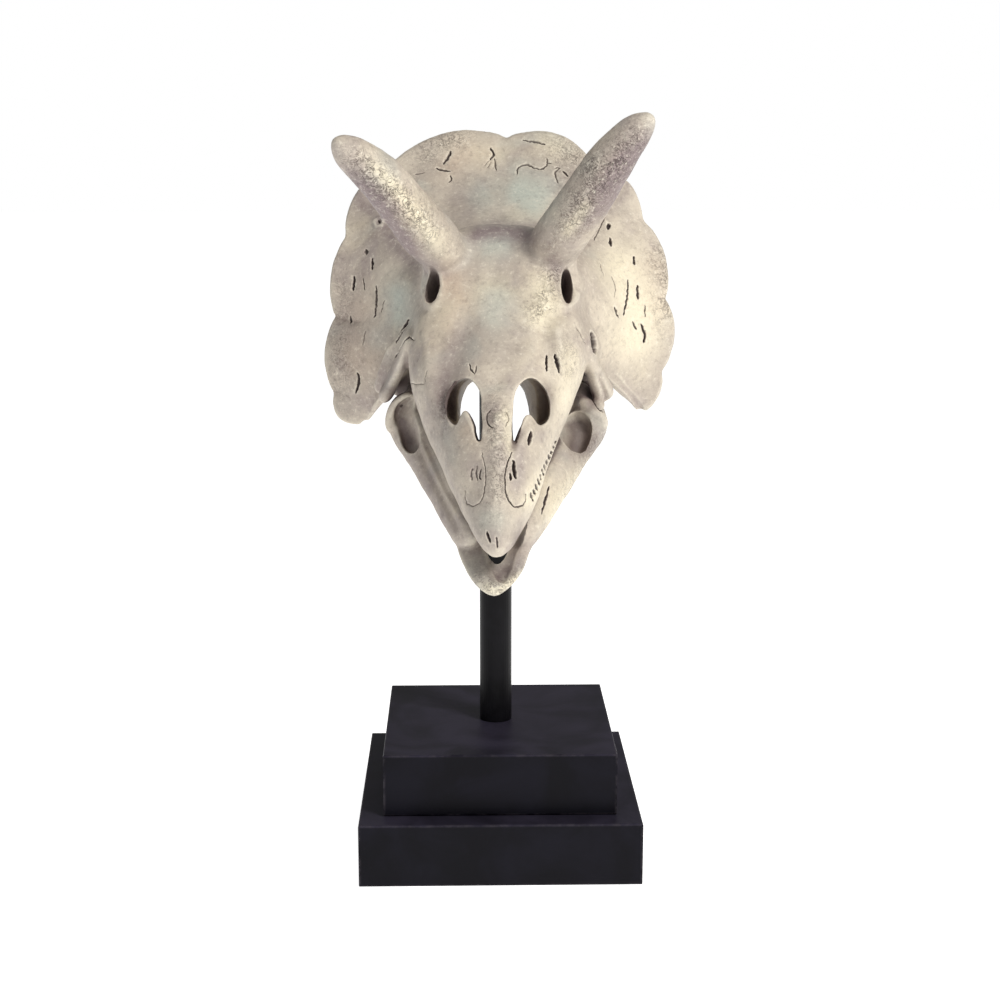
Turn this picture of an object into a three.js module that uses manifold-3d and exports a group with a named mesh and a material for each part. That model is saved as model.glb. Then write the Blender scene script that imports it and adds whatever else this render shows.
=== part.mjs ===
// A cast of a horned dinosaur's skull on a black pole, which stands on a black plinth of two steps.
// Millimetres, +Z up, the origin under the middle of the plinth. The face looks along -Y.
// The skull is modelled in a frame of its own, whose YZ plane is its plane of symmetry, and is then
// turned a little about the pole. In names, left and right are those of someone who looks at the face.
import * as THREE from "three";
import { mergeVertices } from "three/addons/utils/BufferGeometryUtils.js";
import Module from "manifold-3d";

// Plinth and pole
const LOWER_STEP = { side: 215, height: 49, edge: 1.2 };
const UPPER_STEP = { side: 178, height: 48.5, edge: 1.2 };
const POLE_RADIUS = 12.7;
const POLE_X = -1.9;
const POLE_TOP = 384;
const GAP = 0.3;

// How the skull sits on the pole
const SKULL_TURN = THREE.MathUtils.degToRad(-1.7);
const SKULL_X = 1;

// The face's own axis runs from the top of the brow down to the tip of the beak. FACE_OUT points out of
// the face. Two thin cuts across that axis part the braincase from the snout and the snout from the beak.
const BROW_TOP = new THREE.Vector3(0, 0, 493);
const FACE_SLOPE = THREE.MathUtils.degToRad(50);
const FACE_DOWN = new THREE.Vector3(0, -Math.cos(FACE_SLOPE), -Math.sin(FACE_SLOPE));
const FACE_OUT = new THREE.Vector3(0, -Math.sin(FACE_SLOPE), Math.cos(FACE_SLOPE));
const SNOUT_CUT = 128;
const BEAK_CUT = 238;

// Sections of the face: how far down the axis, how wide to the left and to the right, how far out of the
// face its front, its widest line and its back lie, and how square it is in front (1 is round, less is
// squarer). It was modelled by hand, and its snout is narrower on the right.
const FACE_SECTIONS = [
  { down: -15, left: 42, right: 42, front: -11, side: -26, back: -44, round: 0.9 },
  { down: 6, left: 51, right: 51, front: 1, side: -24, back: -58, round: 0.8 },
  { down: 30, left: 56, right: 56, front: 2, side: -32, back: -68, round: 0.7 },
  { down: 55, left: 60, right: 60, front: 3, side: -36, back: -76, round: 0.7 },
  { down: 80, left: 64, right: 64, front: 4, side: -38, back: -82, round: 0.74 },
  { down: 104, left: 68, right: 65, front: 5, side: -38, back: -86, round: 0.85 },
  { down: 139, left: 61, right: 54, front: 9, side: -36, back: -82, round: 1 },
  { down: 170, left: 51, right: 42, front: 12, side: -37, back: -64, round: 1.1 },
  { down: 190, left: 43, right: 36, front: 12, side: -34, back: -53, round: 1.1 },
  { down: 216, left: 34, right: 30, front: 10, side: -30, back: -42, round: 1 },
  { down: 240, left: 24, right: 23.5, front: 5, side: -25, back: -34, round: 1 },
  { down: 258, left: 15.5, right: 15.5, front: -1, side: -20, back: -30, round: 1 },
  { down: 277, left: 7, right: 7, front: -12, side: -18, back: -24, round: 1 },
];

// The braincase: its middle, a wing to each side that meets the frill, and the ball that the neck would
// turn on
const BRAINCASE = [
  { at: [0, 8, 420], half: [48, 29, 46] },
  { at: [-36, 15, 424], half: [32, 9, 18] },
  { at: [36, 15, 424], half: [32, 9, 18] },
  { at: [0, 34, 396], half: [12, 13, 12] },
];

// The eye socket's mouth on the right, which way it opens, and the ridge behind it, from brow to cheek
const ORBIT = { at: [51, -27, 446.5], axis: [0.78, -0.62, 0.05], half: [11.5, 13.5], depth: 26 };
const ORBIT_RIM = [
  { at: [46, -8, 478], half: 12, tall: 12 },
  { at: [53, -5, 450], half: 8, tall: 12 },
  { at: [60, -10, 418], half: 7, tall: 12 },
  { at: [62, -18, 392], half: 6, tall: 10 },
];

// The brow horns: the middle of each section from inside the brow to the tip
const HORNS = {
  left: [
    [-36, -8, 470], [-46, -22, 477], [-67, -49, 504.5],
    [-84, -69, 527], [-98, -84, 540], [-115, -101, 554],
  ],
  right: [
    [36, -6, 472], [44.5, -18, 481], [66, -40, 514],
    [79.5, -56, 537], [92.5, -67, 554], [109.5, -80, 571],
  ],
};
const HORN_RADII = [15.5, 20.5, 18.7, 17.2, 14.2, 10.5];

// Outlines of the nostrils as seen from the front, as x and z. The peak in the lower edge is a spur.
// They are drawn on a plane across the snout and sink as they go back.
const NOSTRILS = {
  left: [
    [-22, 388], [-30, 382], [-33.5, 370], [-32.5, 358], [-29, 353.5], [-24.5, 364.5],
    [-19, 356], [-14.6, 344], [-12.6, 340], [-11.4, 350], [-11.6, 364], [-14, 380],
  ],
  right: [
    [24, 388], [33, 381], [37.5, 369], [36, 358], [30, 353.5], [22, 361.5],
    [16.5, 353], [12.6, 343], [11.2, 340], [10.2, 350], [10.6, 364], [14, 381],
  ],
};
const NOSTRIL = { front: -170, back: -60, drawn: -110, sink: 0.155 };
const NOSE_BOSS = { at: [-0.5, -112.5, 369], half: [7, 8, 7] };

// The nasal passage, open from behind the nostrils to the back of the skull
const PASSAGE = [
  { y: -84, x: [-31, 33], z: [333, 388] },
  { y: -50, x: [-30, 27], z: [322, 381] },
  { y: 0, x: [-29, 21], z: [300, 373] },
  { y: 90, x: [-34, 26], z: [280, 359] },
];

const FRILL = { rimThickness: 6.5, rootThickness: 11, columns: 60, rows: 7 };
const FRILL_BEHIND_CHEEK = 14;
// Where the frill's edge is notched, from the right cheek round over the top to the left cheek, as x and
// z, and how far the edge swells out between this notch and the next.
const FRILL_NOTCHES = [
  { at: [80, 383], swell: 0 },
  { at: [116, 338.5], swell: 6 },
  { at: [129.3, 371], swell: 10 },
  { at: [131.6, 428], swell: 11 },
  { at: [114.5, 489], swell: 12 },
  { at: [79, 529], swell: 17 },
  { at: [5, 554.5], swell: 16.5 },
  { at: [-93, 530], swell: 12 },
  { at: [-124, 476.5], swell: 9 },
  { at: [-131, 413.6], swell: 9 },
  { at: [-133, 353], swell: 11 },
  { at: [-112, 329.5], swell: 0 },
  { at: [-86, 374], swell: 0 },
];
// Where the frill leaves the skull, from the right cheek over the braincase to the left cheek
const FRILL_ROOT = [
  [60, -8, 398], [60, -6, 402], [59, -4, 410], [57, -4, 430], [50, -2, 456],
  [32, 3, 470], [0, 6, 475], [-32, 3, 470], [-50, -2, 456],
  [-57, -4, 430], [-60, -4, 406], [-61, -6, 400], [-62, -8, 394],
];
// The seams of the middle of the frill, as places round it from 0 to 1
const SUTURES = [0.365, 0.637];

// The horns of the cheeks, from the ridge down to the tip
const CHEEKS = {
  left: [
    { at: [-60, -28, 410], half: 9, tall: 13 },
    { at: [-78, -14, 382], half: 6.5, tall: 12 },
    { at: [-91, -2, 355], half: 6.5, tall: 9 },
  ],
  right: [
    { at: [58, -28, 410], half: 9, tall: 13 },
    { at: [72, -14, 382], half: 7.5, tall: 12 },
    { at: [83, -1, 356], half: 11, tall: 8 },
  ],
};
// The bar from the braincase to the hinge of the jaw, and the plate of bone inside it
const QUADRATE = [
  { at: [56, 20, 408], half: 8, tall: 10 },
  { at: [69, 18.5, 382.5], half: 6, tall: 9 },
  { at: [82, 17, 357], half: 8, tall: 8 },
];
const PTERYGOID = { at: [59, 12, 376], half: [20, 8, 28] };

// The lower jaw: middle of each section from the hinge to the front, half width and half height
const JAW_SECTIONS = [
  { at: [77, 20, 347], half: 6, tall: 6 },
  { at: [75, 7, 340], half: 9, tall: 14.5 },
  { at: [64.5, -14, 332], half: 10, tall: 18 },
  { at: [49.5, -50, 314], half: 10.5, tall: 15.5 },
  { at: [34.5, -85, 298], half: 10.5, tall: 16 },
  { at: [23.5, -113, 284], half: 10.5, tall: 15 },
  { at: [17.5, -133, 271], half: 7.5, tall: 10 },
];
const JAW_LEAN = THREE.MathUtils.degToRad(22);
const JAW_X = -1.2;
// The spur that rises from the jaw behind the teeth, and the pit in the jaw's side below it
const CORONOID = [
  { at: [69, -4, 338], half: 8, tall: 13 },
  { at: [66, -4, 353], half: 6, tall: 9 },
  { at: [63, -4, 368], half: 3.5, tall: 5 },
];
const JAW_PIT = { at: [67, -22, 347], half: [9, 16, 17] };
// The scoop in front of the jaws: its outside, the hollow in it, and the throat behind its floor, where
// the two sides of the jaw part
const SCOOP = {
  x: -0.6, tip: -161, rear: -108, half: 28,
  topRear: 300, topTip: 253.5, keelRear: 264, keelTip: 239,
};
const HOLLOW = {
  x: 2, tip: -154, rear: -92, half: 19.5,
  topRear: 340, topTip: 300, keelRear: 268, keelTip: 249,
};
const THROAT = {
  x: 0.5, tip: -138, rear: -60, half: 15,
  topRear: 340, topTip: 300, keelRear: 235, keelTip: 225,
};

const TEETH = { count: 11, length: 9, thick: 2.1, thin: 1.3 };
const TOOTH_ROWS = {
  left: { first: [-44, -52, 326], last: [-28, -116, 302] },
  right: { first: [37.5, -52, 326], last: [25.5, -116, 302] },
};

const BONE = { color: 0xcdc1b0, roughness: 0.62, metalness: 0 };
const BLACK_WOOD = { color: 0x17161b, roughness: 0.45, metalness: 0 };
const BLACK_METAL = { color: 0x121114, roughness: 0.3, metalness: 0.1 };

const wasm = await Module();
wasm.setup();

const point = (xyz) => new THREE.Vector3(...xyz);
const moved = ([across, ...rest], side, x) => [side * across + x, ...rest];
const toSide = (side, sections, x = 0) => sections.map((s) => ({ ...s, at: moved(s.at, side, x) }));

// Solids and meshes

function toSolid(geometry) {
  const bare = geometry.index ? geometry.toNonIndexed() : geometry.clone();
  bare.deleteAttribute("normal");
  bare.deleteAttribute("uv");
  const merged = mergeVertices(bare, 1e-4);
  const position = merged.attributes.position.array;
  const kept = [];
  for (let i = 0; i < merged.index.count; i += 3) {
    const [a, b, c] = merged.index.array.slice(i, i + 3);
    if (a !== b && b !== c && c !== a) kept.push(a, b, c);
  }
  const build = (triangles) =>
    new wasm.Manifold(
      new wasm.Mesh({ numProp: 3, vertProperties: position, triVerts: new Uint32Array(triangles) }),
    );
  const made = build(kept);
  if (made.volume() > 0) return made;
  for (let i = 0; i < kept.length; i += 3) [kept[i + 1], kept[i + 2]] = [kept[i + 2], kept[i + 1]];
  return build(kept);
}

function toGeometry(solid) {
  const mesh = solid.getMesh();
  const geometry = new THREE.BufferGeometry();
  geometry.setAttribute("position", new THREE.BufferAttribute(mesh.vertProperties, 3));
  geometry.setIndex(new THREE.BufferAttribute(mesh.triVerts, 1));
  geometry.computeVertexNormals();
  return geometry;
}

const join = (...solids) => solids.reduce((whole, piece) => whole.add(piece));
const cut = (solid, ...tools) => tools.reduce((left, tool) => left.subtract(tool), solid);

// Keeps only the largest body of a solid.
function largest(solid) {
  return solid.decompose().sort((a, b) => b.volume() - a.volume())[0];
}

// Shapes

// A sphere's grid laid over a form: place(t, turn) gives the point at t from one pole to the other.
function skin(sides, rows, place) {
  const geometry = new THREE.SphereGeometry(1, sides, rows);
  const position = geometry.attributes.position;
  for (let row = 0; row <= rows; row++) {
    for (let side = 0; side <= sides; side++) {
      const turn = (2 * Math.PI * (side % sides)) / sides;
      const p = place(row / rows, row % rows ? turn : 0);
      position.setXYZ(row * (sides + 1) + side, p.x, p.y, p.z);
    }
  }
  return toSolid(geometry);
}

const power = (value, exponent) => Math.sign(value) * Math.abs(value) ** exponent;

// How full a section is near a rounded end, from 0 at the very end to 1.
function fullness(t, start, end) {
  const ease = (x) => Math.sqrt(Math.max(0, 1 - (1 - Math.min(1, x)) ** 2));
  return (start ? ease(t / start) : 1) * (end ? ease((1 - t) / end) : 1);
}

// A limb of oval sections along a smooth path, with round ends. Its sections stand upright on up, or lean.
function limb(sections, { sides, rows, up, ends, lean = 0, square = 1, grow = 0 }) {
  const path = new THREE.CatmullRomCurve3(sections.map((s) => point(s.at)));
  const sizes = new THREE.CatmullRomCurve3(sections.map((s) => new THREE.Vector3(s.half, s.tall, 0)));
  return skin(sides, rows, (along, turn) => {
    const t = 0.5 - 0.5 * Math.cos(Math.PI * along);
    const middle = path.getPoint(t);
    const size = sizes.getPoint(t);
    const ahead = path.getTangent(t);
    const side = new THREE.Vector3().crossVectors(ahead, point(up)).normalize();
    const upright = new THREE.Vector3().crossVectors(side, ahead);
    const full = fullness(t, ends[0], ends[1]);
    const across = (size.x + grow) * full * power(Math.cos(turn), square);
    const tall = (size.y + grow) * full * power(Math.sin(turn), square);
    const x = across * Math.cos(lean) - tall * Math.sin(lean);
    const y = across * Math.sin(lean) + tall * Math.cos(lean);
    const stretch = grow * (2 * t - 1);
    return middle.addScaledVector(side, x).addScaledVector(upright, y).addScaledVector(ahead, stretch);
  });
}

function ellipsoid(at, half) {
  const geometry = new THREE.SphereGeometry(1, 14, 10);
  geometry.scale(...half);
  geometry.translate(...at);
  return toSolid(geometry);
}

// The space between two cuts across the face's axis
function faceRegion(from, to) {
  const geometry = new THREE.BoxGeometry(400, 400, to - from);
  geometry.translate(0, 0, (from + to) / 2);
  geometry.applyMatrix4(new THREE.Matrix4().makeBasis(new THREE.Vector3(-1, 0, 0), FACE_OUT, FACE_DOWN));
  geometry.translate(BROW_TOP.x, BROW_TOP.y, BROW_TOP.z);
  return toSolid(geometry);
}

// A square block with its edges taken off
function plinthStep({ side, height, edge }, bottom) {
  const shape = new THREE.Shape();
  const half = side / 2 - edge;
  shape.moveTo(-half, -half).lineTo(half, -half).lineTo(half, half).lineTo(-half, half).closePath();
  const bevel = { bevelEnabled: true, bevelThickness: edge, bevelSize: edge, bevelSegments: 2 };
  const geometry = new THREE.ExtrudeGeometry(shape, { depth: height - 2 * edge, ...bevel });
  geometry.translate(0, 0, bottom + edge);
  return geometry;
}

// The forms of the skull

function faceForm(grow = 0) {
  const widths = new THREE.CatmullRomCurve3(FACE_SECTIONS.map((s) => point([s.left, s.right, s.down])));
  const reaches = new THREE.CatmullRomCurve3(FACE_SECTIONS.map((s) => point([s.front, s.back, s.side])));
  const rounds = new THREE.CatmullRomCurve3(FACE_SECTIONS.map((s) => point([s.round, 0, 0])));
  return skin(28, 24, (along, turn) => {
    const width = widths.getPoint(along);
    const reach = reaches.getPoint(along);
    const round = rounds.getPoint(along).x;
    const full = fullness(along, 0.11, 0.05);
    const across = Math.cos(turn);
    const out = Math.sin(turn);
    const wide = across > 0 ? width.y : width.x;
    const half = (wide + grow) * full * power(across, out > 0 ? round : 0.9);
    const front = (reach.x - reach.z + grow) * full;
    const back = (reach.z - reach.y + grow) * full;
    const depth = out > 0 ? front * power(out, round) : back * power(out, 0.72);
    return BROW_TOP.clone()
      .addScaledVector(FACE_DOWN, width.z + grow * (2 * along - 1))
      .addScaledVector(FACE_OUT, reach.z + depth)
      .add(new THREE.Vector3(half, 0, 0));
  });
}

function braincaseForm(grow = 0) {
  return join(...BRAINCASE.map(({ at, half }) => ellipsoid(at, half.map((h) => h + grow))));
}

// The knob under the braincase that takes the top of the pole
function condyleForm(grow = 0) {
  const sections = [
    { at: [POLE_X, 2, 364], half: 15, tall: 16 },
    { at: [POLE_X, 6, 384], half: 17, tall: 19 },
    { at: [POLE_X, 12, 404], half: 20, tall: 22 },
  ];
  return limb(sections, { sides: 16, rows: 6, up: [0, 1, 0], ends: [0.2, 0], grow });
}

function orbitRimForm(side, grow = 0) {
  return limb(toSide(side, ORBIT_RIM), { sides: 12, rows: 10, up: [0, 1, 0], ends: [0.15, 0.1], grow });
}

function orbitHole(side) {
  const { at, axis, half, depth } = ORBIT;
  const geometry = new THREE.CylinderGeometry(1, 0.72, depth * 2, 18, 1);
  geometry.scale(half[0], 1, half[1]);
  const outward = new THREE.Vector3(side * axis[0], axis[1], axis[2]).normalize();
  const level = new THREE.Vector3().crossVectors(outward, new THREE.Vector3(0, 0, 1)).normalize();
  const upright = new THREE.Vector3().crossVectors(level, outward);
  geometry.applyMatrix4(new THREE.Matrix4().makeBasis(level, outward, upright));
  geometry.translate(side * at[0], at[1], at[2]);
  return toSolid(geometry);
}

function hornForm(middles, grow = 0) {
  const sections = middles.map((at, i) => ({ at, half: HORN_RADII[i], tall: HORN_RADII[i] * 1.04 }));
  return limb(sections, { sides: 16, rows: 12, up: [0, 1, 0.3], ends: [0.05, 0.16], grow });
}

function nostrilHole(outline) {
  const curve = new THREE.CatmullRomCurve3(outline.map(([x, z]) => point([x, z, 0])), true);
  const shape = new THREE.Shape(curve.getPoints(26).slice(0, -1).map((p) => new THREE.Vector2(p.x, p.y)));
  const depth = NOSTRIL.back - NOSTRIL.front;
  const geometry = new THREE.ExtrudeGeometry(shape, { depth, bevelEnabled: false });
  geometry.rotateX(Math.PI / 2);
  geometry.translate(0, NOSTRIL.back - NOSTRIL.drawn, 0);
  geometry.applyMatrix4(new THREE.Matrix4().makeShear(0, 0, 0, -NOSTRIL.sink, 0, 0));
  geometry.translate(0, NOSTRIL.drawn, 0);
  return toSolid(geometry);
}

function passageHole() {
  const geometry = new THREE.BoxGeometry(1, 1, 1, 1, PASSAGE.length - 1, 1);
  const position = geometry.attributes.position;
  for (let i = 0; i < position.count; i++) {
    const k = Math.round((position.getY(i) + 0.5) * (PASSAGE.length - 1));
    const { y, x, z } = PASSAGE[k];
    position.setXYZ(i, x[position.getX(i) > 0 ? 1 : 0], y, z[position.getZ(i) > 0 ? 1 : 0]);
  }
  return toSolid(geometry);
}

// The frill's edge at t from the right cheek over the top to the left cheek
function frillRim(t) {
  const spans = FRILL_NOTCHES.length - 1;
  const k = Math.min(spans - 1, Math.floor(t * spans));
  const within = t * spans - k;
  const from = new THREE.Vector2(...FRILL_NOTCHES[k].at);
  const to = new THREE.Vector2(...FRILL_NOTCHES[k + 1].at);
  const outward = new THREE.Vector2(to.y - from.y, from.x - to.x).normalize();
  const swell = FRILL_NOTCHES[k].swell * Math.sin(Math.PI * within) ** 0.75;
  const flat = from.lerp(to, within).addScaledVector(outward, swell);
  const cheek = Math.max(0, 1 - t * spans, 1 - (1 - t) * spans);
  const depth = THREE.MathUtils.lerp(frillDepth(flat.y), FRILL_BEHIND_CHEEK, cheek);
  return new THREE.Vector3(flat.x, depth, flat.y);
}

// The frill lies further back the higher it is.
function frillDepth(z) {
  return 59 + 81 * Math.max(0, (z - 325) / 235) ** 2.2;
}

const frillRootCurve = new THREE.CatmullRomCurve3(FRILL_ROOT.map(point));

// A point on the middle of the frill's sheet, t round it and out from root to rim. The sheet is dished.
function frillSheet(t, out) {
  const root = frillRootCurve.getPoint(t);
  const rim = frillRim(t);
  const dish = 4 * out * (1 - out);
  const over = Math.sin(Math.PI * t) ** 3;
  const p = root.lerp(rim, out);
  return p.add(new THREE.Vector3(0, 5 * dish * (1 - over), -17 * dish * over));
}

// The whole frill as one curved plate
function frillForm(grow = 0) {
  const geometry = new THREE.BoxGeometry(1, 1, 1, FRILL.columns, FRILL.rows, 1);
  const position = geometry.attributes.position;
  const nudge = 0.004;
  for (let i = 0; i < position.count; i++) {
    const t = position.getX(i) + 0.5;
    const out = (position.getY(i) + 0.5) ** 0.85;
    const inward = Math.max(0, out - nudge);
    const ahead = frillSheet(Math.min(1, t + nudge), inward);
    const along = ahead.sub(frillSheet(Math.max(0, t - nudge), inward));
    const outward = frillSheet(t, inward + nudge).sub(frillSheet(t, Math.max(0, inward - nudge)));
    const normal = new THREE.Vector3().crossVectors(along, outward).normalize();
    const thick = THREE.MathUtils.lerp(FRILL.rootThickness, FRILL.rimThickness, Math.sqrt(out));
    const p = frillSheet(t, out)
      .addScaledVector(normal, Math.sign(position.getZ(i)) * (thick / 2 + grow))
      .addScaledVector(along.normalize(), 2 * grow * position.getX(i))
      .addScaledVector(outward.normalize(), 2 * grow * position.getY(i));
    position.setXYZ(i, p.x, p.y, p.z);
  }
  return toSolid(geometry);
}

// A thin slab along the line on the frill at t, from inside its root to beyond its rim
function sutureSlab(t) {
  const root = frillSheet(t, 0);
  const rim = frillSheet(t, 1);
  const reach = rim.clone().sub(root);
  const sideways = new THREE.Vector3(reach.z, 0, -reach.x).normalize();
  const through = new THREE.Vector3().crossVectors(sideways, reach).normalize();
  const geometry = new THREE.BoxGeometry(GAP, 160, reach.length() * 1.4);
  const basis = new THREE.Matrix4().makeBasis(sideways, through.negate(), reach.normalize());
  geometry.applyMatrix4(basis);
  geometry.translate(...root.lerp(rim, 0.5).toArray());
  return toSolid(geometry);
}

function cheekForm(name, grow = 0) {
  return limb(CHEEKS[name], { sides: 12, rows: 10, up: [0, 1, 0], ends: [0.05, 0.22], grow });
}

function quadrateForm(side, grow = 0) {
  const bar = limb(toSide(side, QUADRATE), { sides: 10, rows: 8, up: [0, 1, 0], ends: [0.1, 0.15], grow });
  const [plate] = toSide(side, [PTERYGOID]);
  return bar.add(ellipsoid(plate.at, plate.half.map((h) => h + grow)));
}

function jawForm(side, grow = 0) {
  const lean = -side * JAW_LEAN;
  const sections = toSide(side, JAW_SECTIONS, JAW_X);
  const spur = toSide(side, CORONOID, JAW_X);
  const shape = { sides: 14, rows: 16, up: [0, 0, 1], ends: [0.04, 0.1], lean, square: 0.85 };
  const bar = limb(sections, { ...shape, grow });
  return bar.add(limb(spur, { sides: 10, rows: 8, up: [0, 1, 0], ends: [0.05, 0.2], grow }));
}

function jawPit(side) {
  const [pit] = toSide(side, [JAW_PIT]);
  return ellipsoid(pit.at, pit.half);
}

// A boat whose stern is at the rear and whose stem is at the tip
function boatForm({ x, tip, rear, half, topRear, topTip, keelRear, keelTip }, grow = 0) {
  return skin(20, 12, (along, turn) => {
    const t = 0.5 - 0.5 * Math.cos(Math.PI * along);
    const full = fullness(t, 0.06, 0.03);
    const top = THREE.MathUtils.lerp(topRear, topTip, t ** 0.8);
    const keel = THREE.MathUtils.lerp(keelRear, keelTip, t ** 1.3);
    const across = (half * Math.sqrt(Math.max(0, 1 - t ** 1.9)) + grow) * Math.min(1, full * 1.6);
    const tall = ((top - keel) / 2 + grow) * full;
    const y = THREE.MathUtils.lerp(rear, tip, t) + grow * (1 - 2 * t);
    const side = across * power(Math.cos(turn), 0.85);
    return new THREE.Vector3(x + side, y, (top + keel) / 2 + tall * power(Math.sin(turn), 0.9));
  });
}

function teethForm(name) {
  const { count, length, thick, thin } = TEETH;
  const { first, last } = TOOTH_ROWS[name];
  const teeth = [];
  for (let i = 0; i < count; i++) {
    const at = point(first).lerp(point(last), i / (count - 1));
    const geometry = new THREE.CylinderGeometry(thick, thin, length, 5, 1);
    geometry.rotateX(Math.PI / 2);
    geometry.translate(at.x, at.y, at.z);
    teeth.push(toSolid(geometry));
  }
  return join(...teeth);
}

// The pole, or with a margin the hole for it
function poleForm(bottom, margin, x) {
  const top = POLE_TOP + margin;
  const radius = POLE_RADIUS + margin;
  const geometry = new THREE.CylinderGeometry(radius, radius, top - bottom, 36);
  geometry.rotateX(Math.PI / 2);
  geometry.translate(x, 0, (bottom + top) / 2);
  return geometry;
}

// The parts of the skull, each cut clear of its neighbours by the gap

const roofForm = (grow) =>
  join(faceForm(grow), braincaseForm(grow), orbitRimForm(1, grow), orbitRimForm(-1, grow));
const hollows = [passageHole(), ...Object.values(NOSTRILS).map(nostrilHole), orbitHole(1), orbitHole(-1)];
const grownRoof = roofForm(GAP).add(condyleForm(GAP));
const grownHorns = Object.values(HORNS).map((middles) => hornForm(middles, GAP));
const grownFrill = frillForm(GAP);

function cranium() {
  const region = faceRegion(-100, SNOUT_CUT - GAP / 2);
  const bone = cut(roofForm(0).intersect(region), ...hollows).add(condyleForm());
  return largest(cut(bone, toSolid(poleForm(300, GAP, POLE_X - SKULL_X))));
}

function snout() {
  const boss = ellipsoid(NOSE_BOSS.at, NOSE_BOSS.half);
  const bone = cut(faceForm().add(boss), ...hollows).add(teethForm("right")).add(teethForm("left"));
  return largest(bone.intersect(faceRegion(SNOUT_CUT + GAP / 2, BEAK_CUT - GAP / 2)));
}

function beak() {
  return largest(faceForm().intersect(faceRegion(BEAK_CUT + GAP / 2, 400)));
}

function browHorn(name) {
  return largest(cut(hornForm(HORNS[name]), grownRoof));
}

// The three plates of the frill, from the left to the right
function frillPlates() {
  const whole = cut(frillForm(), ...SUTURES.map(sutureSlab), grownRoof, ...grownHorns);
  const plates = whole.decompose().sort((a, b) => b.volume() - a.volume()).slice(0, 3);
  const middle = (solid) => solid.boundingBox().min[0] + solid.boundingBox().max[0];
  return plates.sort((a, b) => middle(a) - middle(b));
}

function cheekHorn(name) {
  return largest(cut(cheekForm(name), grownRoof, grownFrill));
}

function quadrate(name, side) {
  return largest(cut(quadrateForm(side), grownRoof, cheekForm(name, GAP), grownFrill));
}

function mandible(name, side) {
  const neighbours = [faceForm(GAP), cheekForm(name, GAP), quadrateForm(side, GAP), boatForm(SCOOP, GAP)];
  return largest(cut(jawForm(side), jawPit(side), teethForm(name), ...neighbours));
}

function predentary() {
  return largest(cut(boatForm(SCOOP), boatForm(HOLLOW), boatForm(THROAT), faceForm(GAP)));
}

// The object

const group = new THREE.Group();
const skull = new THREE.Group();
skull.rotation.z = SKULL_TURN;
skull.position.x = SKULL_X;
group.add(skull);

function addTo(parent, name, geometry, finish) {
  const mesh = new THREE.Mesh(geometry, new THREE.MeshStandardMaterial(finish));
  mesh.name = name;
  parent.add(mesh);
}

const upperStepBottom = LOWER_STEP.height + GAP;
const poleBottom = upperStepBottom + UPPER_STEP.height + GAP;
addTo(group, "stand_plinth_lower", plinthStep(LOWER_STEP, 0), BLACK_WOOD);
addTo(group, "stand_plinth_upper", plinthStep(UPPER_STEP, upperStepBottom), BLACK_WOOD);
addTo(group, "stand_pole", poleForm(poleBottom, 0, POLE_X), BLACK_METAL);

const [leftPlate, middlePlate, rightPlate] = frillPlates();
const bones = {
  cranium: cranium(),
  snout: snout(),
  rostral_beak: beak(),
  frill_squamosal_left: leftPlate,
  frill_parietal: middlePlate,
  frill_squamosal_right: rightPlate,
  predentary: predentary(),
};
for (const [name, side] of [["left", -1], ["right", 1]]) {
  bones[`brow_horn_${name}`] = browHorn(name);
  bones[`cheek_horn_${name}`] = cheekHorn(name);
  bones[`quadrate_${name}`] = quadrate(name, side);
  bones[`mandible_${name}`] = mandible(name, side);
}
for (const [name, solid] of Object.entries(bones)) addTo(skull, name, toGeometry(solid), BONE);

export default group;
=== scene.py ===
from math import cos, pi, radians, sin

import bmesh
import bpy
import numpy as np
from mathutils import Matrix, Vector, noise
from mathutils.bvhtree import BVHTree
from mathutils.kdtree import KDTree


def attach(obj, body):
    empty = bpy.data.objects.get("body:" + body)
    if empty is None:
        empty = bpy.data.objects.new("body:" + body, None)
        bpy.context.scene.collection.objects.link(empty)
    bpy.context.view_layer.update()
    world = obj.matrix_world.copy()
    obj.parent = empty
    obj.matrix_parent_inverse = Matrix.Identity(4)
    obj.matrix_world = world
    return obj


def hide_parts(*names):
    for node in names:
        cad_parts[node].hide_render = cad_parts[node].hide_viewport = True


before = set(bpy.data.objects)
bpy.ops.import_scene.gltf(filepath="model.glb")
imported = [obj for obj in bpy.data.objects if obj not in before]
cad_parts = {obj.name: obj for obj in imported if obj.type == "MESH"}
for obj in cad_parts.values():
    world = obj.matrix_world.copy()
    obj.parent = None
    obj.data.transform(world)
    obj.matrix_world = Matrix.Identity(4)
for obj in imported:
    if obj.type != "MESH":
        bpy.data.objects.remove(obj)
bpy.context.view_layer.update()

# Blender takes the seed of its noise vectors from the clock, so one is set, for the same slits each run.
NOISE_SEED = 1
noise.seed_set(NOISE_SEED)

# Sizes of the plinth and the pole, and how the skull is turned and set on the pole
LOWER_STEP = {"half": 107.5, "bottom": 0.0, "top": 49.0}
UPPER_STEP = {"half": 89.0, "bottom": 49.3, "top": 97.8}
POLE = {"x": -1.9, "radius": 12.7, "top": 384.0}
SKULL_TURN = np.array(Matrix.Rotation(radians(-1.7), 3, "Z"))
SKULL_AT = np.array([1.0, 0, 0])
# The two sides of the skull, and the way that each lies
SIDES = {"left": -1, "right": 1}
# The gaps between the jaw and the skull and round the pole, and how deep the pole's hole is drilled
GAP = 0.4
POLE_GAP = 0.6
POLE_DRILL = 120

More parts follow.
